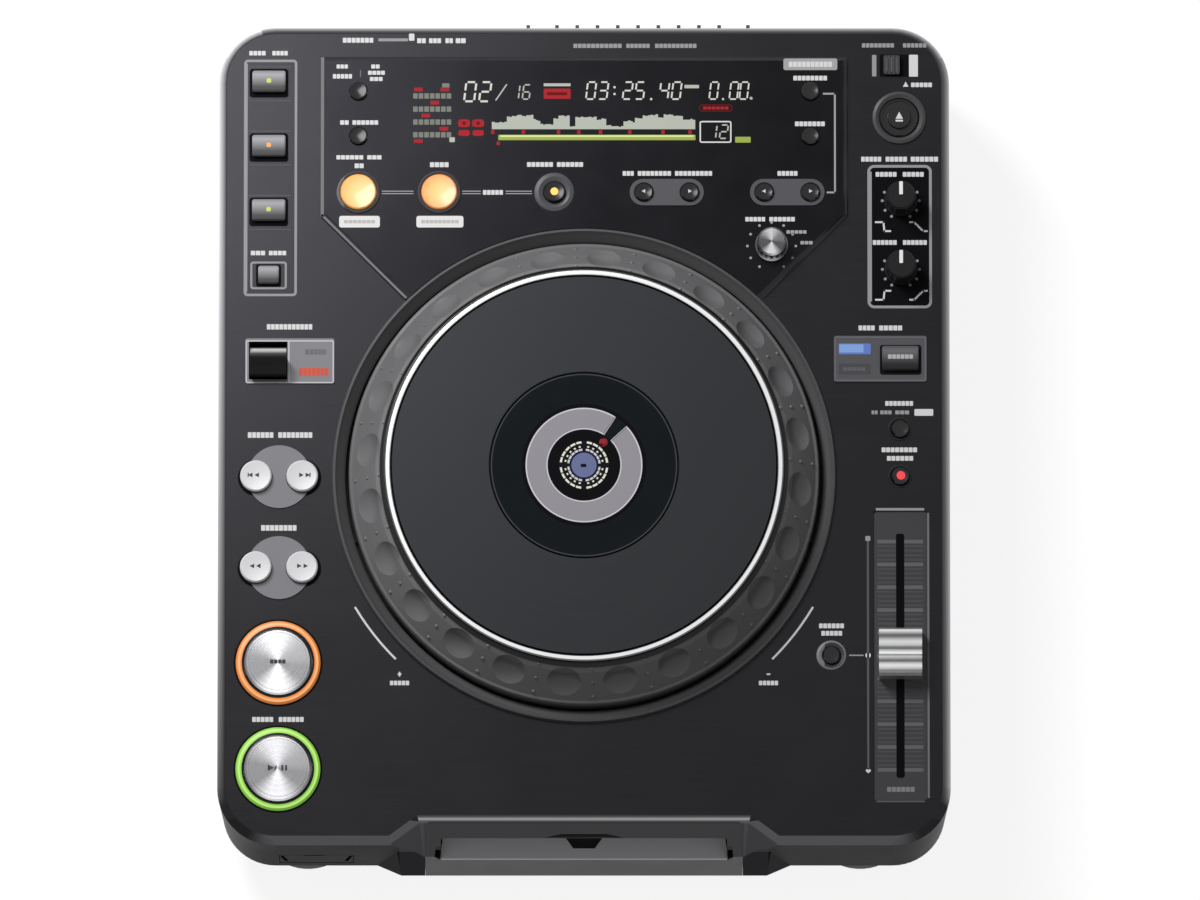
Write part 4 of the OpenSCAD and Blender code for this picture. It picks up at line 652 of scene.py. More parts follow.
class PLAYER_OT_keys(bpy.types.Operator):
    """Keys, their lit rings, the grey trims and the marks on the caps"""

    bl_idname = "player.keys"
    bl_label = "Keys"

    def execute(self, context):
        self.caps()
        self.rings()
        self.trims()
        self.cap_marks()
        return {"FINISHED"}

    def caps(self):
        for key in ("play_button", "cue_button"):
            # The last value paints light and dark wedges of sheen into the silver, a painted highlight.
            dress(turned(key + "_silver", colours().silver, middle(key), 0.27, 1.0, 0.22, 0.02, 0.1, 0.5), key)
        dress(moulded("search_key_white", (0.6, 0.6, 0.615), 0.25, 0.01, 0.5), *SEARCH_KEYS)
        for key in (*HOT_KEYS, "record_mode_button", "jog_mode_button"):
            self.square_cap(key, 0.4 if key == "jog_mode_button" else 1.0)
        dress(moulded("small_key_black", (0.008, 0.008, 0.009), 0.16, 0.0, 0.3), *SMALL_KEYS)
        for key, edge in (("loop_in_button", (0.85, 0.36, 0.08)), ("loop_out_button", (0.8, 0.27, 0.08))):
            dress(lamp_cap(key + "_lit", colours().amber, 0.13, middle(key), 8.3, edge), key)
        dress(moulded("switch_black", (0.03, 0.03, 0.032), 0.4), "power_switch")

    def square_cap(self, key, share):
        """A dark cap with a painted highlight: a pale band near the rear of its hollow, fading to dark at the front."""
        cap = moulded(key + "_dark", (0.012, 0.012, 0.014), 0.3, 0.01, 0.12)
        stops = [(place, (value * share, value * share, value * share * 1.05))
                 for place, value in ((0, 0.12), (0.25, 0.33), (0.7, 0.05), (1, 0.0))]
        # Painted highlight: the colour runs from pale near the rear to dark at the front.
        painted_rear_highlight = cap.node("ShaderNodeValToRGB", {"stops": stops}, {0: cap.from_rear(key)})
        dress(cap.set(base_color=painted_rear_highlight), key)

    def rings(self):
        """The lit rings of the play and cue keys, with a painted highlight along their middle and painted shade inside,
        in the gap next to the cap.
        """
        lights = Finish("ring_lights", colours().cue, 0.3, specular_ior_level=0.3)
        play, cue = middle("play_button"), middle("cue_button")
        green = lights.axes()[1] < (play[1] + cue[1]) / 2
        radius = lights.around(play)[0].math("MINIMUM", lights.around(cue)[0])
        # Palest along the middle is a painted highlight.
        painted_highlight_core = (1.0 - abs(radius - 17.1) / 0.75).clamped()
        deep = lights.mix(green, tuple(colours().cue), tuple(colours().play))
        pale = lights.mix(green, (0.78, 0.37, 0.16), (0.42, 0.66, 0.17))
        # Black inside r 15.9 is painted shade in the gap next to the cap.
        lit = lights.mix(radius < 15.9, lights.mix(painted_highlight_core, deep, pale), (0.01, 0.01, 0.01))
        lights.set(base_color=lit, emission_color=lit, emission_strength=0.42)
        dress(lights.emboss(lights.noise(0.25, 2.0), 0.01), "light_rings")

    def trims(self):
        """The grey plates and rings round the keys, each with its own tone."""
        trim = moulded("trim_grey", colours().trim, 0.38, 0.02)
        x, y, z = trim.axes()
        right = x > HALF_WIDTH - 55
        raised = (x > 55 - HALF_WIDTH) * (z > DISPLAY_TOP - 0.1)
        for mask, tone in ((right * y.within(-30, 15), (0.02, 0.02, 0.021)), (right * (y < -30), (0.027, 0.027, 0.03)),
                           (right * y.within(15, 52), (0.06, 0.06, 0.067)), (raised, (0.06, 0.06, 0.068)),
                           (right * (y > 120), (0.045, 0.045, 0.048))):
            trim.paint(mask, tone)
        for node, inner, outer, tone in (("tempo_reset_button", 5.7, 6.9, 0.16), ("reloop_button", 8.6, 9.6, 0.17)):
            trim.band(middle(node), inner, outer, (tone, tone, tone * 1.05))
        dress(trim, "control_plates")

    def cap_marks(self):
        dark = ink("mark_dark", (0.06, 0.06, 0.065))
        white = ink("mark_white", tuple(colours().print))
        green = ink("mark_green", (0.42, 0.5, 0.12), 0.3)
        orange = ink("mark_orange", (0.75, 0.3, 0.12), 0.3)
        for node in SEARCH_KEYS:
            side, turn = (-1, 180) if "back" in node else (1, 0)
            track = "track" in node
            shapes = [("triangle", shift, 0.3, 1.25, dark, turn)
                      for shift in ((2.2 * side, -0.6 * side) if track else (-1.4, 1.4))]
            cap_mark(node, "key_black", *shapes, *([("bar", 3.4 * side, 0.3, 0.5, 1.9, dark)] if track else ()))
        cap_mark("play_button", "key_black", ("triangle", -3.4, 0, 1.8, dark), ("bar", -1.0, 0, 0.5, 2.4, dark, 0, -20),
                 ("bar", 2.0, 0, 0.9, 2.4, dark), ("bar", 3.6, 0, 0.9, 2.4, dark))
        cap_mark("cue_button", "key_black", ("captions", dark, (0, 1.8, -3.6, 3.4)))
        for node, lit in zip(HOT_KEYS, (green, orange, green)):
            cap_mark(node, "key_amber", ("bar", 0, 0.2, 2.0, 2.0, lit, 0.6), level=top(node))
        cap_mark("eject_button", "key_white", ("triangle", 0, 0.3, 2.0, white, 90), ("bar", 0, -1.7, 3.2, 0.8, white),
                 level=top("eject_button") + 0.02)
        cap_mark("reloop_button", "key_amber", ("dot", 0, 0, 1.7, ink("small_amber", (0.95, 0.5, 0.12), 0.5)),
                 name="reloop_button_light")
        cap_mark("master_tempo_button", "key_amber", ("dot", 0.4, 0, 1.9, ink("small_red", (0.75, 0.06, 0.07), 0.4)),
                 name="master_tempo_light")
        cap_mark("jog_mode_button", "key_white",
                 ("captions", ink("mark_grey", (0.42, 0.42, 0.43)), (0.6, 1.9, -5.6, 5.6)),
                 level=top("jog_mode_button"), name="jog_mode_mark")
        for node in FOLDER_KEYS + CALL_KEYS:
            cap_mark(node, "key_white", ("triangle", 0, 0.2, 1.0, white, 180 if "back" in node else 0))


class PLAYER_OT_controls(bpy.types.Operator):
    """Knobs, direction lever, lock slide and tempo slider"""

    bl_idname = "player.controls"
    bl_label = "Knobs and sliders"

    def execute(self, context):
        black = moulded("knob_black", (0.008, 0.008, 0.009), 0.34, 0.02, 0.12)
        dress(black.paint(black.axes()[2] > top(KNOBS[0]) - 0.4, (0.034, 0.034, 0.036)), *KNOBS)
        lever = moulded("lever_black", (0.004, 0.004, 0.005), 0.25, 0.01, 0.1)
        back = lever.from_rear("direction_lever")
        # Painted highlight: a light stripe near the lever's rear edge, and its rear half painted lighter than its
        # front.
        painted_highlight_stripe = (1.0 - abs(back - 0.12) / 0.12).clamped()
        tone = painted_highlight_stripe * 0.4 + (0.5 - back).clamped() * 0.36 + 0.006
        dress(lever.set(base_color=lever.grey(tone)), "direction_lever")
        dress(moulded("lock_grey", (0.03, 0.03, 0.034), 0.4), "lock_slide")
        # The last value paints light and dark wedges of sheen into the silver, a painted highlight.
        dress(turned("knob_silver", (0.27, 0.27, 0.28), middle("jog_adjust_knob"), 0.26, 1.0, 0.3, 0.02, 0.1, 0.75),
              "jog_adjust_knob")
        cap = hairline("slider_silver", (0.7, 0.7, 0.71), 0.3, (0.05, 6.0, 6.0), 0.012, metallic=0.85)
        # Painted light and shade of ridges: light and dark bands from rear to front across the cap.
        painted_ridge_shading = (cap.from_rear("tempo_slider") * (8 * math.pi) - 0.35 * math.pi).math("COSINE") * 0.4 + 0.6
        dress(cap.shade(painted_ridge_shading), "tempo_slider")
        white = ink("pointer_white", (0.75, 0.75, 0.75))
        for knob in KNOBS:
            cap_mark(knob, "key_white", ("bar", 0, 3.0, 1.6, 5.8, white, 0.3), level=top(knob), name=knob + "_pointer")
        grey = ink("rib_grey", (0.09, 0.09, 0.1))
        cap_mark("lock_slide", "key_dark", *(("bar", shift, 0, 0.7, 6.4, grey, 0.2) for shift in (-2.1, 0.0, 2.1)),
                 level=top("lock_slide"), name="lock_slide_ribs")
        return {"FINISHED"}


class PLAYER_OT_panel_marks(bpy.types.Operator):
    """Frames, lines, dots and plain captions printed on the case, with painted shade round keys and painted highlights
    on edges
    """

    bl_idname = "player.panel_marks"
    bl_label = "Panel marks"

    def execute(self, context):
        marks = Marks("panel_marks", "chassis", "key_white", PANEL_TOP)
        inks = (ink("print_white", tuple(colours().print)), ink("print_grey", (0.29, 0.285, 0.3)),
                ink("print_dim", (0.1, 0.1, 0.105)), ink("print_black", (0.004, 0.004, 0.005)))
        for part in (self.captions, self.left_side, self.right_side, self.knob_frame, self.tempo_scale):
            part(marks, *inks)
        marks.build()
        return {"FINISHED"}

    def captions(self, marks, white, grey, dim, black):
        marks.captions(
            white, (176.0, 2.2, -105.9, -92.3), (175.8, 2.2, -73.3, -69.3, -68.1, -62.6, -60.9, -57.4, -56.4, -51.8),
            (170.2, 2.0, -146.9, -139.5, -136.8, -129.8), (80.7, 2.0, -146.0, -139.5, -138.1, -130.3),
            (47.7, 2.4, -138.9, -118.8), (-0.6, 2.5, -147.1, -135.7, -133.8, -118.7), (-42.0, 2.5, -141.2, -125.5),
            (-127.2, 2.2, -144.9, -135.5, -133.3, -122.2), (156.0, 2.0, 143.2, 152.6),
            (122.7, 2.2, 121.3, 130.3, 132.0, 141.6, 143.0, 155.2), (47.2, 2.2, 120.0, 127.3, 129.0, 139.3),
            (13.5, 2.1, 131.6, 144.0), (-7.2, 2.1, 130.0, 145.7), (-11.0, 2.1, 132.3, 144.0),
            (-85.6, 2.1, 102.5, 113.6), (-88.9, 2.1, 103.5, 112.8), (-111.0, 2.0, -84.8, -76.2, 76.2, 84.8))
        marks.captions(grey, (173.5, 1.9, -4.8, 16.6, 18.4, 28.9, 31.0, 49.4), (173.7, 1.9, 121.7, 136.0, 139.7, 150.2),
                       (9.5, 1.7, 125.6, 128.5, 129.4, 134.6, 136.0, 142.3))
        marks.span(-90.2, -77.2, 176.2, 1.3, grey)
        marks.bars((-75.6, 177.4, 2.4, 3.2, white, 0.4), (148.6, 9.5, 8.2, 3.0, white, 0.4),
                   (-80.5, -107.1, 1.6, 0.7, white), (-80.5, -106.4, 0.7, 0.7, white),
                   (-80.5, -107.8, 0.7, 0.7, white), (80.5, -107.1, 1.6, 0.7, white))
        for start, end in ((210.3, 224.8), (-44.8, -30.3)):
            marks.ring(*WHEEL, 116.25, 115.35, white, start, end)

    def left_side(self, marks, white, grey, dim, black):
        """The frame of the hot keys, the painted shade in the gaps round the keys and under the round keys, and dim
        lines as painted highlights along the hot keys' recess edges.
        """
        x, record_y = middle(*HOT_KEYS)[0], middle("record_mode_button")[1]
        marks.outline(x - 10.9, record_y - 9.3, x + 12.4, middle("hot_key_1")[1] + 10.2, 1.8, 1.1, grey, 1.6)
        for key in HOT_KEYS:
            kx, ky = middle(key)
            # Painted shade: black under each key, reaching further below it than above.
            marks.bar(kx, ky - 0.5, 17.0, 12.6, black, 1.2)
            # Dim lines along the recess edges between the keys, painted highlights.
            for edge in (ky - 8.2, ky + 7.0):
                marks.span(x - 8.8, x + 9.6, edge, 0.45, dim)
        kx, ky = middle("record_mode_button")
        marks.outline(kx - 8.0, ky - 6.2, kx + 8.0, ky + 6.2, 1.4, 0.9, grey)
        # Painted shade in the gap round the key.
        marks.bar(kx, ky, 11.0, 9.4, black, 1.0)
        # Painted shadow: a black disc under each key, shifted to the front and right.
        for kx, ky in map(middle, SEARCH_KEYS):
            marks.dot(kx + 0.2, ky - 0.3, 8.2, black, 32)
        # Painted shade: a black ring round each key's lit ring.
        for kx, ky in map(middle, ("play_button", "cue_button")):
            marks.ring(kx, ky, 19.4, 18.2, black)

    def right_side(self, marks, white, grey, dim, black):
        """The lock slide's gap painted black as painted shade, a grey bar as a painted highlight on its left edge, a
        white mark on its right, and the eject key's arrow.
        """
        x, y = middle("lock_slide")
        # Painted shade fills the slide's gap; the grey bar on its left is a painted highlight on the recess's edge.
        marks.bars((x + 1.2, y, 12.8, 10.0, black, 0.5), (x - 7.6, y, 1.9, 9.6, grey, 0.3),
                   (x + 9.6, y, 3.9, 9.8, white, 0.3))
        marks.triangle(141.0, 156.0, 1.5, white, 90)

    def tempo_scale(self, marks, white, grey, dim, black):
        """The tempo slider's scale, and the rim of its plate as painted highlights: grey at the rear, dim at the front
        and lighter on the right.
        """
        x, y = middle("tempo_reset_button")
        slider_x, scale_x, half_width, half_depth = middle("tempo_slider")[0], 124.0, 11.8, 64.4
        marks.line([(x + 8.0, y), (scale_x - 2.2, y)], 0.6, grey)
        marks.bar(scale_x, y, 0.9, 101.5, dim)
        marks.dot(scale_x, y, 1.2, white)
        marks.bars((scale_x, y + 52.0, 2.2, 2.2, grey, 0.4), (scale_x, y - 51.2, 1.8, 1.8, white, 0.2, 45))
        # Painted highlights on the plate's rim: grey at the rear edge, dim at the front, and a light line on the right.
        for edge, depth, tone in ((half_depth + 0.6, 1.1, grey), (-half_depth - 0.5, 0.7, dim)):
            marks.span(slider_x - half_width + 1.2, slider_x + half_width - 1.2, y + edge, depth, tone)
        light = ink("edge_light", (0.16, 0.16, 0.17))
        marks.bar(slider_x + half_width + 0.45, y, 0.9, 2 * half_depth - 2.0, light)

    def knob_frame(self, marks, white, grey, dim, black):
        """The frame of the two knobs, with their dots and curves."""
        (x, high), (_, low) = knobs = [middle(knob) for knob in KNOBS]
        marks.bar(x - 0.5, (high + low) / 2 - 0.6, 26.8, high - low + 32.8, black, 2.0)
        marks.above()
        marks.outline(x - 14.6, low - 17.4, x + 13.6, high + 16.0, 3.0, 1.2, grey, 1.9)
        marks.captions(white, (115.9, 2.1, 127.6, 137.0, 139.5, 148.9), (low + 12.0, 2.1, 126.3, 137.0, 139.5, 150.2))
        for (x, y), fall in zip(knobs, (1, -1)):
            for angle in (152, 180, 212, 240, 28, 0, -32, -60):
                marks.dot(*polar(sizes().dot_ring * 1000, angle, x, y), 0.65, grey, 10)
            for path in (((-11.0, 2.0), (-7.6, 2.0), (-7.2, -2.0), (-4.6, -2.0)),
                         ((4.0, 2.0), (5.8, 2.0), (9.8, -2.0), (11.4, -2.0))):
                marks.line([(x + u, y - 11.6 + fall * v) for u, v in path], 0.8, white)


class PLAYER_OT_plate_marks(bpy.types.Operator):
    """Marks on the grey plates: direction plate, jog mode lights, tempo graduations"""

    bl_idname = "player.plate_marks"
    bl_label = "Plate marks"

    def execute(self, context):
        self.plates()
        self.graduations()
        return {"FINISHED"}

    def plates(self):
        marks = Marks("plate_marks", "chassis", "key_white", PANEL_TOP + 0.8)
        pale = ink("plate_pale", (0.5, 0.49, 0.52))
        line = ink("plate_line", (0.13, 0.128, 0.14))
        x, y = middle("direction_lever")
        marks.outline(x - 9.8, y - 9.6, x + 28.8, y + 9.6, 0.8, 0.6, pale)
        marks.bar(x + 9.1, y, 0.6, 18.0, pale)
        marks.captions(ink("plate_red", (0.55, 0.09, 0.06), 0.05), (y - 4.5, 3.6, x + 13.5, x + 26.5))
        marks.captions(ink("plate_faint", (0.15, 0.148, 0.165)), (y + 4.4, 2.4, x + 16.1, x + 25.5))
        x, y = middle("jog_mode_button")
        marks.outline(x - 28.9, y - 10.0, x + 11.3, y + 10.0, 1.0, 0.7, line)
        # The black bar round the jog mode key is painted shade in its gap, reaching further to the front.
        marks.bars((x - 20.0, y + 4.4, 14.0, 4.8, ink("plate_blue", (0.1, 0.17, 0.45), 0.15), 0.4),
                   (x - 20.0, y - 4.6, 14.0, 4.8, ink("plate_unlit", (0.07, 0.07, 0.075)), 0.4),
                   (x + 0.1, y - 0.5, 18.2, 13.4, ink("plate_black", (0.006, 0.006, 0.007)), 1.2))
        marks.above()
        marks.bar(x - 21.4, y + 4.6, 10.6, 3.6, ink("plate_sky", (0.2, 0.33, 0.62), 0.08), 0.4)
        marks.captions(ink("plate_dim", (0.11, 0.11, 0.12)), (y - 4.6, 1.6, x - 25.2, x - 15.2))
        marks.build()

    def graduations(self):
        """Ten steps of the tempo scale, each with four short lines, on both sides of the slot."""
        marks = Marks("tempo_graduations", "chassis", "trim_grey", PANEL_TOP - 0.8)
        pale = ink("graduation_pale", (0.12, 0.12, 0.128))
        deep = ink("graduation_deep", (0.075, 0.075, 0.08))
        x, y = middle("tempo_slider")
        step, width = 10.15, 8.4
        for number in range(-5, 6):
            for centre in (x - 5.8, x + 5.8):
                marks.bar(centre, y + number * step, width, 1.6 if number else 2.4, pale)
                for minor in range(1, 5) if number < 5 else ():
                    marks.bar(centre, y + (number + minor / 5) * step, width, 0.7, deep)
        marks.captions(ink("graduation_grey", (0.2, 0.2, 0.21)), (y - 59.4, 2.2, x - 6.0, x + 6.2))
        marks.bar(x, y, 3.6, 108.6, ink("slot_black", (0.003, 0.003, 0.004)), 1.0)
        marks.build()


class PLAYER_OT_display(bpy.types.Operator):
    """The raised black panel, its lit picture and its printed marks"""

    bl_idname = "player.display"
    bl_label = "Display panel"

    def execute(self, context):
        gloss = Finish("display_gloss", colours().display, 0.2, 1.0, specular_tint=(0.4, 0.4, 0.4))
        gloss.vary(gloss.noise(0.03, 2.0), 0.2)
        chamfer = gloss.leaning()[2] < 0.9
        gloss.paint(chamfer, (0.03, 0.03, 0.032))
        gloss.set(metallic=1 - chamfer, roughness=gloss.noise(0.06, 3.0) * 0.1 + 0.2)
        dress(gloss, "display_panel")
        self.prints()
        self.picture()
        return {"FINISHED"}

    def prints(self):
        marks = Marks("display_prints", "chassis", "key_white", DISPLAY_TOP)
        white = ink("caption_white", tuple(colours().print))
        grey = ink("caption_grey", (0.18, 0.18, 0.19))
        pale = ink("caption_pale", (0.7, 0.69, 0.68))
        mid = ink("caption_mid", (0.34, 0.34, 0.34))
        soft = ink("caption_soft", (0.45, 0.44, 0.43))
        faint = ink("caption_faint", (0.03, 0.03, 0.033))
        _, high = part_box("display_panel")
        row = middle("loop_in_button")[1]
        # Painted highlights along the raised panel's left and right edges: wide and grey on the left, thin and faint on
        # the right.
        for sign, width, tone in ((-1, 1.5, grey), (1, 0.7, faint)):
            edge, rear, bend = sign * (high[0] - 0.9), high[1] - 1.2, high[1] - 71.4
            marks.line([(edge, rear), (edge, bend)], width, tone)
            marks.line([(edge, bend), (sign * 78.1, 60.5)], width * 0.7, tone)
        marks.captions(
            white, (163.8, 1.8, -108.6, -103.4, -93.4, -89.5), (159.4, 2.0, -110.2, -101.6), (161.0, 1.8, -94.8, -87.2),
            (158.2, 1.8, -94.0, -88.2), (138.7, 2.0, -107.0, -103.0, -101.6, -90.1),
            (123.1, 1.9, -108.6, -96.6, -95.1, -88.6), (119.3, 2.1, -100.6, -96.4), (119.8, 2.2, -67.6, -59.2),
            (119.9, 2.1, -25.1, -13.5, -12.0, -0.3), (115.9, 2.1, 16.8, 21.9, 23.4, 38.2, 39.7, 56.2, 84.6, 93.6),
            (158.6, 2.1, 91.6, 106.6), (138.1, 2.1, 92.3, 105.6), (95.4, 2.0, 70.5, 79.4, 81.0, 92.4),
            (row, 2.1, -44.4, -35.4))
        marks.captions(mid, (89.7, 1.5, 88.5, 97.5), (84.9, 1.5, 94.6, 100.2))
        labels = ((-98.3, 17.8), (-63.1, 20.6))
        marks.bars((-98.0, 160.6, 0.4, 3.0, grey), (99.2, 164.8, 23.6, 5.2, mid, 0.8),
                   *((x, 94.3, width, 5.2, pale, 1.0) for x, width in labels))
        for x0, x1 in ((-88.6, -74.6), (-53.4, -45.2), (-34.4, -22.8)):
            for shift in (-0.55, 0.55):
                marks.span(x0, x1, row + shift, 0.4, mid)
        for nodes in (FOLDER_KEYS, CALL_KEYS):
            x, y = middle(*nodes)
            for shift, half, tone in ((-5.55, 10.15, grey), (5.55, 10.15, grey), (-1.0, 4.6, mid), (1.0, 4.6, mid)):
                marks.span(x - half, x + half, y + shift, 0.5, tone)
        for angle in range(-60, 241, 30):
            marks.dot(*polar(10.6, angle, *middle("jog_adjust_knob")), 0.6, mid, 10)
        right = middle("memory_button")[0] + 10.8
        marks.line([(right - 4.9, 151.6), (right, 151.6), (right, row), (right - 3.3, row)], 0.8, mid)
        marks.above()
        marks.captions(white, (164.8, 2.4, 89.6, 108.8))
        for x, width in labels:
            marks.captions(soft, (94.3, 1.5, x - width / 2 + 2.0, x + width / 2 - 2.0))
        marks.build()

    def picture(self):
        marks = Marks("display_picture", "chassis", "key_white", DISPLAY_TOP)
        pale = ink("segment_pale", tuple(colours().picture), 0.2)
        red = ink("segment_red", (0.3, 0.018, 0.024), 0.2)
        deep = ink("segment_deep_red", (0.12, 0.008, 0.01), 0.1)
        green = ink("segment_green", (0.24, 0.3, 0.06), 0.3)
        cells = ink("segment_cells", (0.17, 0.18, 0.155), 0.1)
        bright = ink("segment_bright", (0.5, 0.51, 0.46), 0.2)
        for y in (150.6, 144.7, 138.9, 133.2):
            marks.bars(*((-73.9 + cell * 2.45, y, 2.0, 2.4, cells, 0.2) for cell in range(7)))
        for x, y in ((-72.6, 153.5), (-61.0, 153.5), (-65.4, 147.6), (-69.4, 141.8), (-61.4, 135.9), (-72.6, 130.4)):
            marks.bar(x, y, 3.8, 1.7, red, 0.2)
        marks.bars((-60.6, 155.2, 3.2, 2.2, cells, 0.3), (-11.8, 155.6, 11.8, 1.3, pale, 0.2),
                   (-11.8, 151.6, 11.8, 4.6, red, 0.6), (47.2, 154.8, 6.4, 1.5, pale, 0.3),
                   (73.2, 149.6, 1.3, 1.3, pale, 0.6), (-37.6, 129.4, 1.3, 1.6, red),
                   (-57.8, 131.0, 2.4, 2.2, pale, 0.3))
        marks.line([(-38.6, 148.8), (-34.0, 155.6)], 0.6, pale)
        marks.figures("02", -52.6, 148.2, 4.4, 8.6, 6.6, bright)
        marks.figures("16", -31.8, 149.2, 3.0, 6.4, 4.7, pale)
        marks.figures("03:25.40", 0.8, 149.2, 3.7, 7.6, 5.35, bright)
        marks.figures("0.00", 54.8, 149.2, 3.4, 7.6, 4.4, bright)
        marks.figures("12", 54.4, 131.6, 3.2, 6.0, 4.9, pale)
        marks.outline(50.4, 143.6, 65.0, 146.8, 1.4, 0.5, deep)
        marks.outline(50.6, 129.6, 64.6, 139.4, 1.0, 0.6, ink("segment_white", (0.55, 0.55, 0.55), 0.2))
        marks.captions(red, (145.2, 1.3, 52.0, 63.4))
        for x in (-52.6, -46.4):
            marks.bars((x, 138.4, 5.2, 3.4, red, 1.2), (x, 134.0, 5.0, 2.6, red, 1.0))
        self.wave(marks, pale)
        for x in (-40.0, -26.6, -11.2, -2.3, 7.2, 20.0, 34.6, 46.4):
            marks.bar(x, 134.4, 1.5, 1.7, red, 0.2)
        marks.span(-37.6, 48.8, 132.0, 2.4, green)
        marks.span(66.2, 73.0, 131.0, 2.6, green)
        marks.above()
        marks.bar(-11.8, 151.6, 8.8, 1.3, deep, 0.3)
        for x in (-52.6, -46.4):
            marks.dot(x, 138.4, 0.8, deep, 10)
        marks.span(-36.8, 48.0, 132.6, 0.8, ink("segment_lime", (0.5, 0.56, 0.25), 0.3))
        marks.build()

    def wave(self, marks, finish):
        """A stepped loudness curve along the picture."""
        steps = ((-40.4, 3.9), (-33.8, 6.0), (-29.4, 6.8), (-22.2, 4.6), (-19.2, 3.1), (-13.4, 5.5), (-11.2, 6.8),
                 (-6.3, 2.2), (-3.8, 6.3), (5.5, 4.9), (9.7, 2.1), (17.3, 4.0), (22.3, 5.8), (25.7, 6.8),
                 (32.4, 5.6), (34.9, 6.8), (43.3, 4.6), (48.7, 0.0))
        base = 135.7
        for (start, tall), (end, _) in zip(steps, steps[1:]):
            count = max(1, round((end - start) / 1.1))
            width = (end - start) / count
            for column in range(count):
                x = start + (column + 0.5) * width
                height = tall - 0.35 * (1 + math.sin(5.3 * x)) - 0.2 * (1 + math.sin(2.1 * x))
                marks.bar(x, base + height / 2, width + 0.02, height, finish)


class PLAYER_OT_drive(bpy.types.Operator):
    """Drive, boards and power supply inside the case"""

    bl_idname = "player.drive"
    bl_label = "Drive and boards"

    def execute(self, context):
        zinc = hairline("zinc_sheet", (0.46, 0.47, 0.49), 0.34, (0.3, 2.0, 2.0), 0.01, metallic=0.9)
        dress(zinc, "drive_frame", "clamp_arm", "feed_screw", "fader_unit")
        dress(turned("motor_steel", (0.42, 0.42, 0.44), (0, 0), 0.38, pitch=0.8), "drive_motors")
        dress(moulded("drive_plastic", (0.03, 0.03, 0.032), 0.45), "turntable", "pickup_sled")
        dress(moulded("roller_rubber", (0.02, 0.02, 0.02), 0.7, 0.05), "loading_roller")
        board = Finish("board_green", (0.02, 0.11, 0.045), 0.35, coat_weight=0.3)
        tracks = board.node("ShaderNodeTexBrick", None, {
            "Vector": board.place(), "Color1": (0.02, 0.11, 0.045), "Color2": (0.025, 0.13, 0.05),
            "Mortar": (0.3, 0.22, 0.08), "Scale": 0.3, "Mortar Size": 0.03})
        _, _, z = board.axes()
        parts = (z > PANEL_TOP - 11.95) + z.within(26.8, 60)
        board.set(base_color=board.mix(parts.clamped(), tracks, (0.025, 0.025, 0.028)))
        dress(board.vary(board.noise(0.4, 2.0), 0.15), "circuit_boards")
        supply = moulded("supply_board", (0.3, 0.2, 0.07), 0.5)
        x, _, z = supply.axes()
        supply.paint(z > 26.9, (0.12, 0.12, 0.13))
        dress(supply.paint((z > 30) * (x < 108), (0.45, 0.34, 0.08)), "power_supply")
        return {"FINISHED"}


class PLAYER_OT_rear(bpy.types.Operator):
    """Connectors, mains inlet and heat sink at the rear"""

    bl_idname = "player.rear"
    bl_label = "Rear"

    def execute(self, context):
        sink = hairline("black_anodised", (0.022, 0.022, 0.024), 0.4, (4.0, 4.0, 0.05), 0.02, metallic=0.4)
        dress(sink, "heat_sink")
        jacks = moulded("socket_black", (0.018, 0.018, 0.019))
        x, y, _ = jacks.axes()
        barrel = (x > 60) * (y > part_box("heat_sink")[0][1] + 0.1)
        dress(jacks.paint(barrel, (0.62, 0.6, 0.56)).set(metallic=barrel), "rear_connectors")
        self.insulators()
        return {"FINISHED"}

    def insulators(self):
        """Coloured rings round the centre contacts of the audio jacks."""
        depth = part_box("rear_connectors")[1][1]
        level, sides = 48, 32
        for name, x, colour in (("white", 100, (0.7, 0.7, 0.68)), ("red", 114, (0.5, 0.03, 0.03)),
                                ("orange", 128, (0.7, 0.22, 0.04))):
            mesh = bmesh.new()
            rows = []
            for radius, y in ((1.75, depth - 0.4), (1.75, depth + 0.02), (3.3, depth + 0.02), (3.3, depth - 0.4)):
                places = [polar(radius, 360 * i / sides, x, level) for i in range(sides)]
                rows.append([mesh.verts.new((u * MM, y * MM, v * MM)) for u, v in places])
            for a, b in zip(rows, rows[1:] + rows[:1]):
                for i in range(sides):
                    mesh.faces.new((a[i], a[(i + 1) % sides], b[(i + 1) % sides], b[i]))
            bmesh.ops.recalc_face_normals(mesh, faces=mesh.faces)
            piece_from(mesh, "jack_ring_" + name, [moulded("jack_" + name, colour, 0.4)], "chassis")


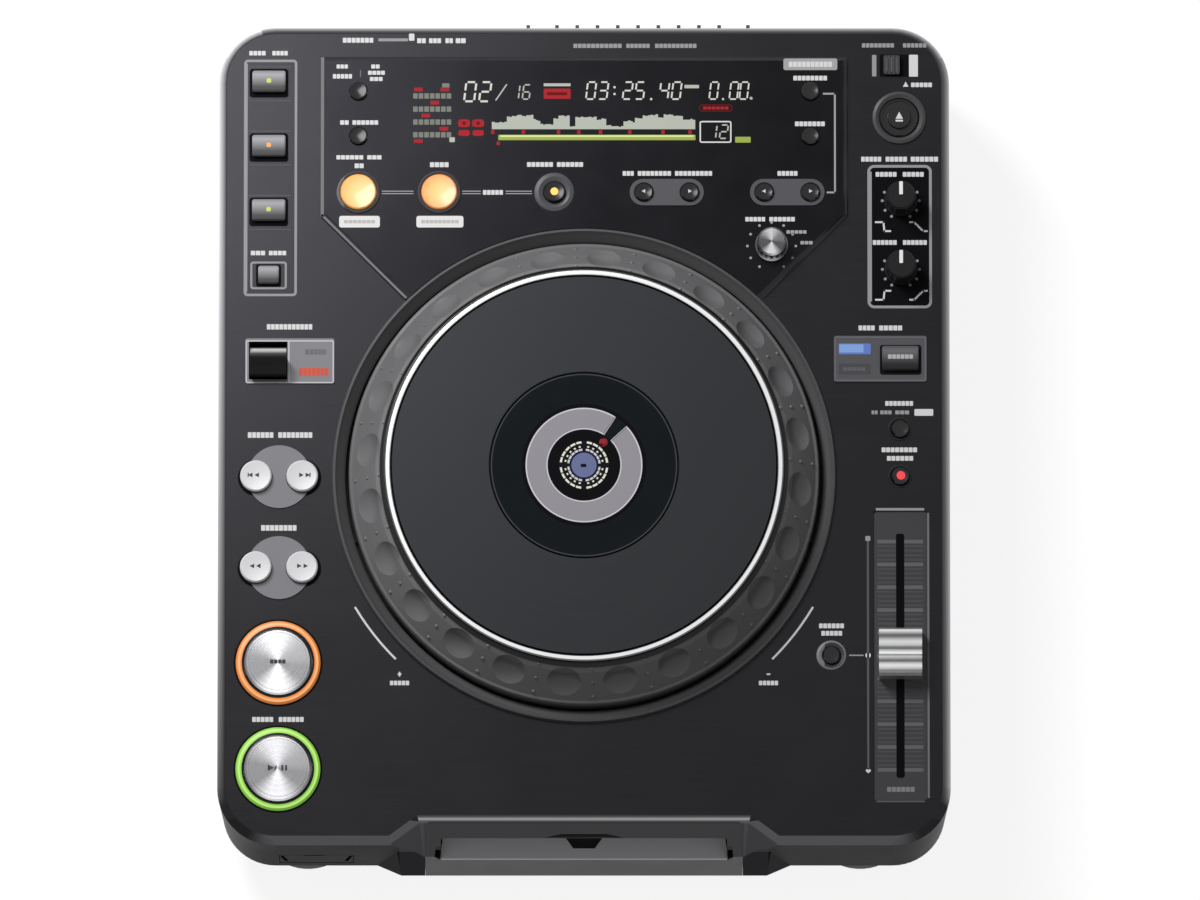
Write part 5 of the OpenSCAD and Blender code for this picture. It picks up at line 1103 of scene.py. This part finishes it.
class PLAYER_OT_stage(bpy.types.Operator):
    """White floor, soft light and the camera"""

    bl_idname = "player.stage"
    bl_label = "Stage"

    def execute(self, context):
        self.floor()
        self.world()
        self.lamp("key_light", (-0.84, 1.08, 1.35), 0.45, sizes().key_light)
        self.lamp("top_light", (-0.27, 0.36, 0.95), 0.3, sizes().top_light)
        self.camera()
        return {"FINISHED"}

    def add(self, name, data):
        item = bpy.data.objects.new(name, data)
        bpy.context.scene.collection.objects.link(item)
        return item

    def floor(self):
        mesh = bmesh.new()
        bmesh.ops.create_grid(mesh, x_segments=1, y_segments=1, size=6.0)
        data = bpy.data.meshes.new("floor")
        mesh.to_mesh(data)
        mesh.free()
        paper = Finish("floor_white", (0.8, 0.8, 0.8), 0.9, specular_ior_level=0.0)
        seen = paper.behind()
        paper.set(base_color=paper.mix(seen, (0.55, 0.55, 0.55), (0.2, 0.2, 0.2)),
                  emission_color=(1, 1, 1), emission_strength=seen * 0.87)
        data.materials.append(paper.material)
        self.add("floor", data)

    def world(self):
        world = bpy.data.worlds.new("studio")
        bpy.context.scene.world = world
        world.use_nodes = True
        sky = Nodes(world.node_tree)
        strength = sky.node("ShaderNodeMapRange", None, {"Value": sky.behind(), "To Min": sizes().world_light})
        background = sky.tree.nodes["Background"]
        sky.connect(background.inputs["Color"], (1, 1, 1))
        sky.connect(background.inputs["Strength"], strength)

    def lamp(self, name, place, size, power):
        data = bpy.data.lights.new(name, "AREA")
        data.shape, data.size, data.energy = "SQUARE", size, power
        lamp = self.add(name, data)
        lamp.location = place
        lamp.rotation_euler = (Vector((0, 0, 0.05)) - Vector(place)).to_track_quat("-Z", "Y").to_euler()

    def camera(self):
        distance, sensor, width_seen = sizes().camera_distance, 36.0, 0.5246
        target, lift = Vector((0.00699, -0.00727, 0.080)), math.radians(78.6)
        data = bpy.data.cameras.new("camera")
        data.sensor_width, data.lens, data.clip_end = sensor, sensor * distance / width_seen, 100.0
        camera = self.add("camera", data)
        camera.location = target + distance * Vector((0, -math.cos(lift), math.sin(lift)))
        camera.rotation_euler = (math.pi / 2 - lift, 0, 0)
        bpy.context.scene.camera = camera


class PLAYER_PT_panel(bpy.types.Panel):
    """Lists the player's pieces and settings"""

    bl_idname = "PLAYER_PT_panel"
    bl_label = "Disc player"
    bl_space_type = "VIEW_3D"
    bl_region_type = "UI"
    bl_category = "Disc player"

    def draw(self, context):
        for group in (context.scene.player_colours, context.scene.player_sizes):
            for name in group.__annotations__:
                self.layout.prop(group, name)
        for piece in PIECES:
            self.layout.operator(piece.bl_idname)


PIECES = (PLAYER_OT_stage, PLAYER_OT_case, PLAYER_OT_jog, PLAYER_OT_round_display, PLAYER_OT_keys,
          PLAYER_OT_controls, PLAYER_OT_panel_marks, PLAYER_OT_plate_marks, PLAYER_OT_display,
          PLAYER_OT_drive, PLAYER_OT_rear)
CLASSES = (PlayerColours, PlayerSizes, *PIECES, PLAYER_PT_panel)


def register():
    for item in CLASSES:
        bpy.utils.register_class(item)
    bpy.types.Scene.player_colours = PointerProperty(type=PlayerColours)
    bpy.types.Scene.player_sizes = PointerProperty(type=PlayerSizes)


def unregister():
    del bpy.types.Scene.player_sizes
    del bpy.types.Scene.player_colours
    for item in reversed(CLASSES):
        bpy.utils.unregister_class(item)


def main():
    register()
    bpy.context.scene.view_settings.view_transform = "Standard"
    for piece in PIECES:
        group, name = piece.bl_idname.split(".")
        if "FINISHED" not in getattr(getattr(bpy.ops, group), name)():
            raise RuntimeError(piece.bl_label + " wasn't finished")


if __name__ == "__main__":
    main()
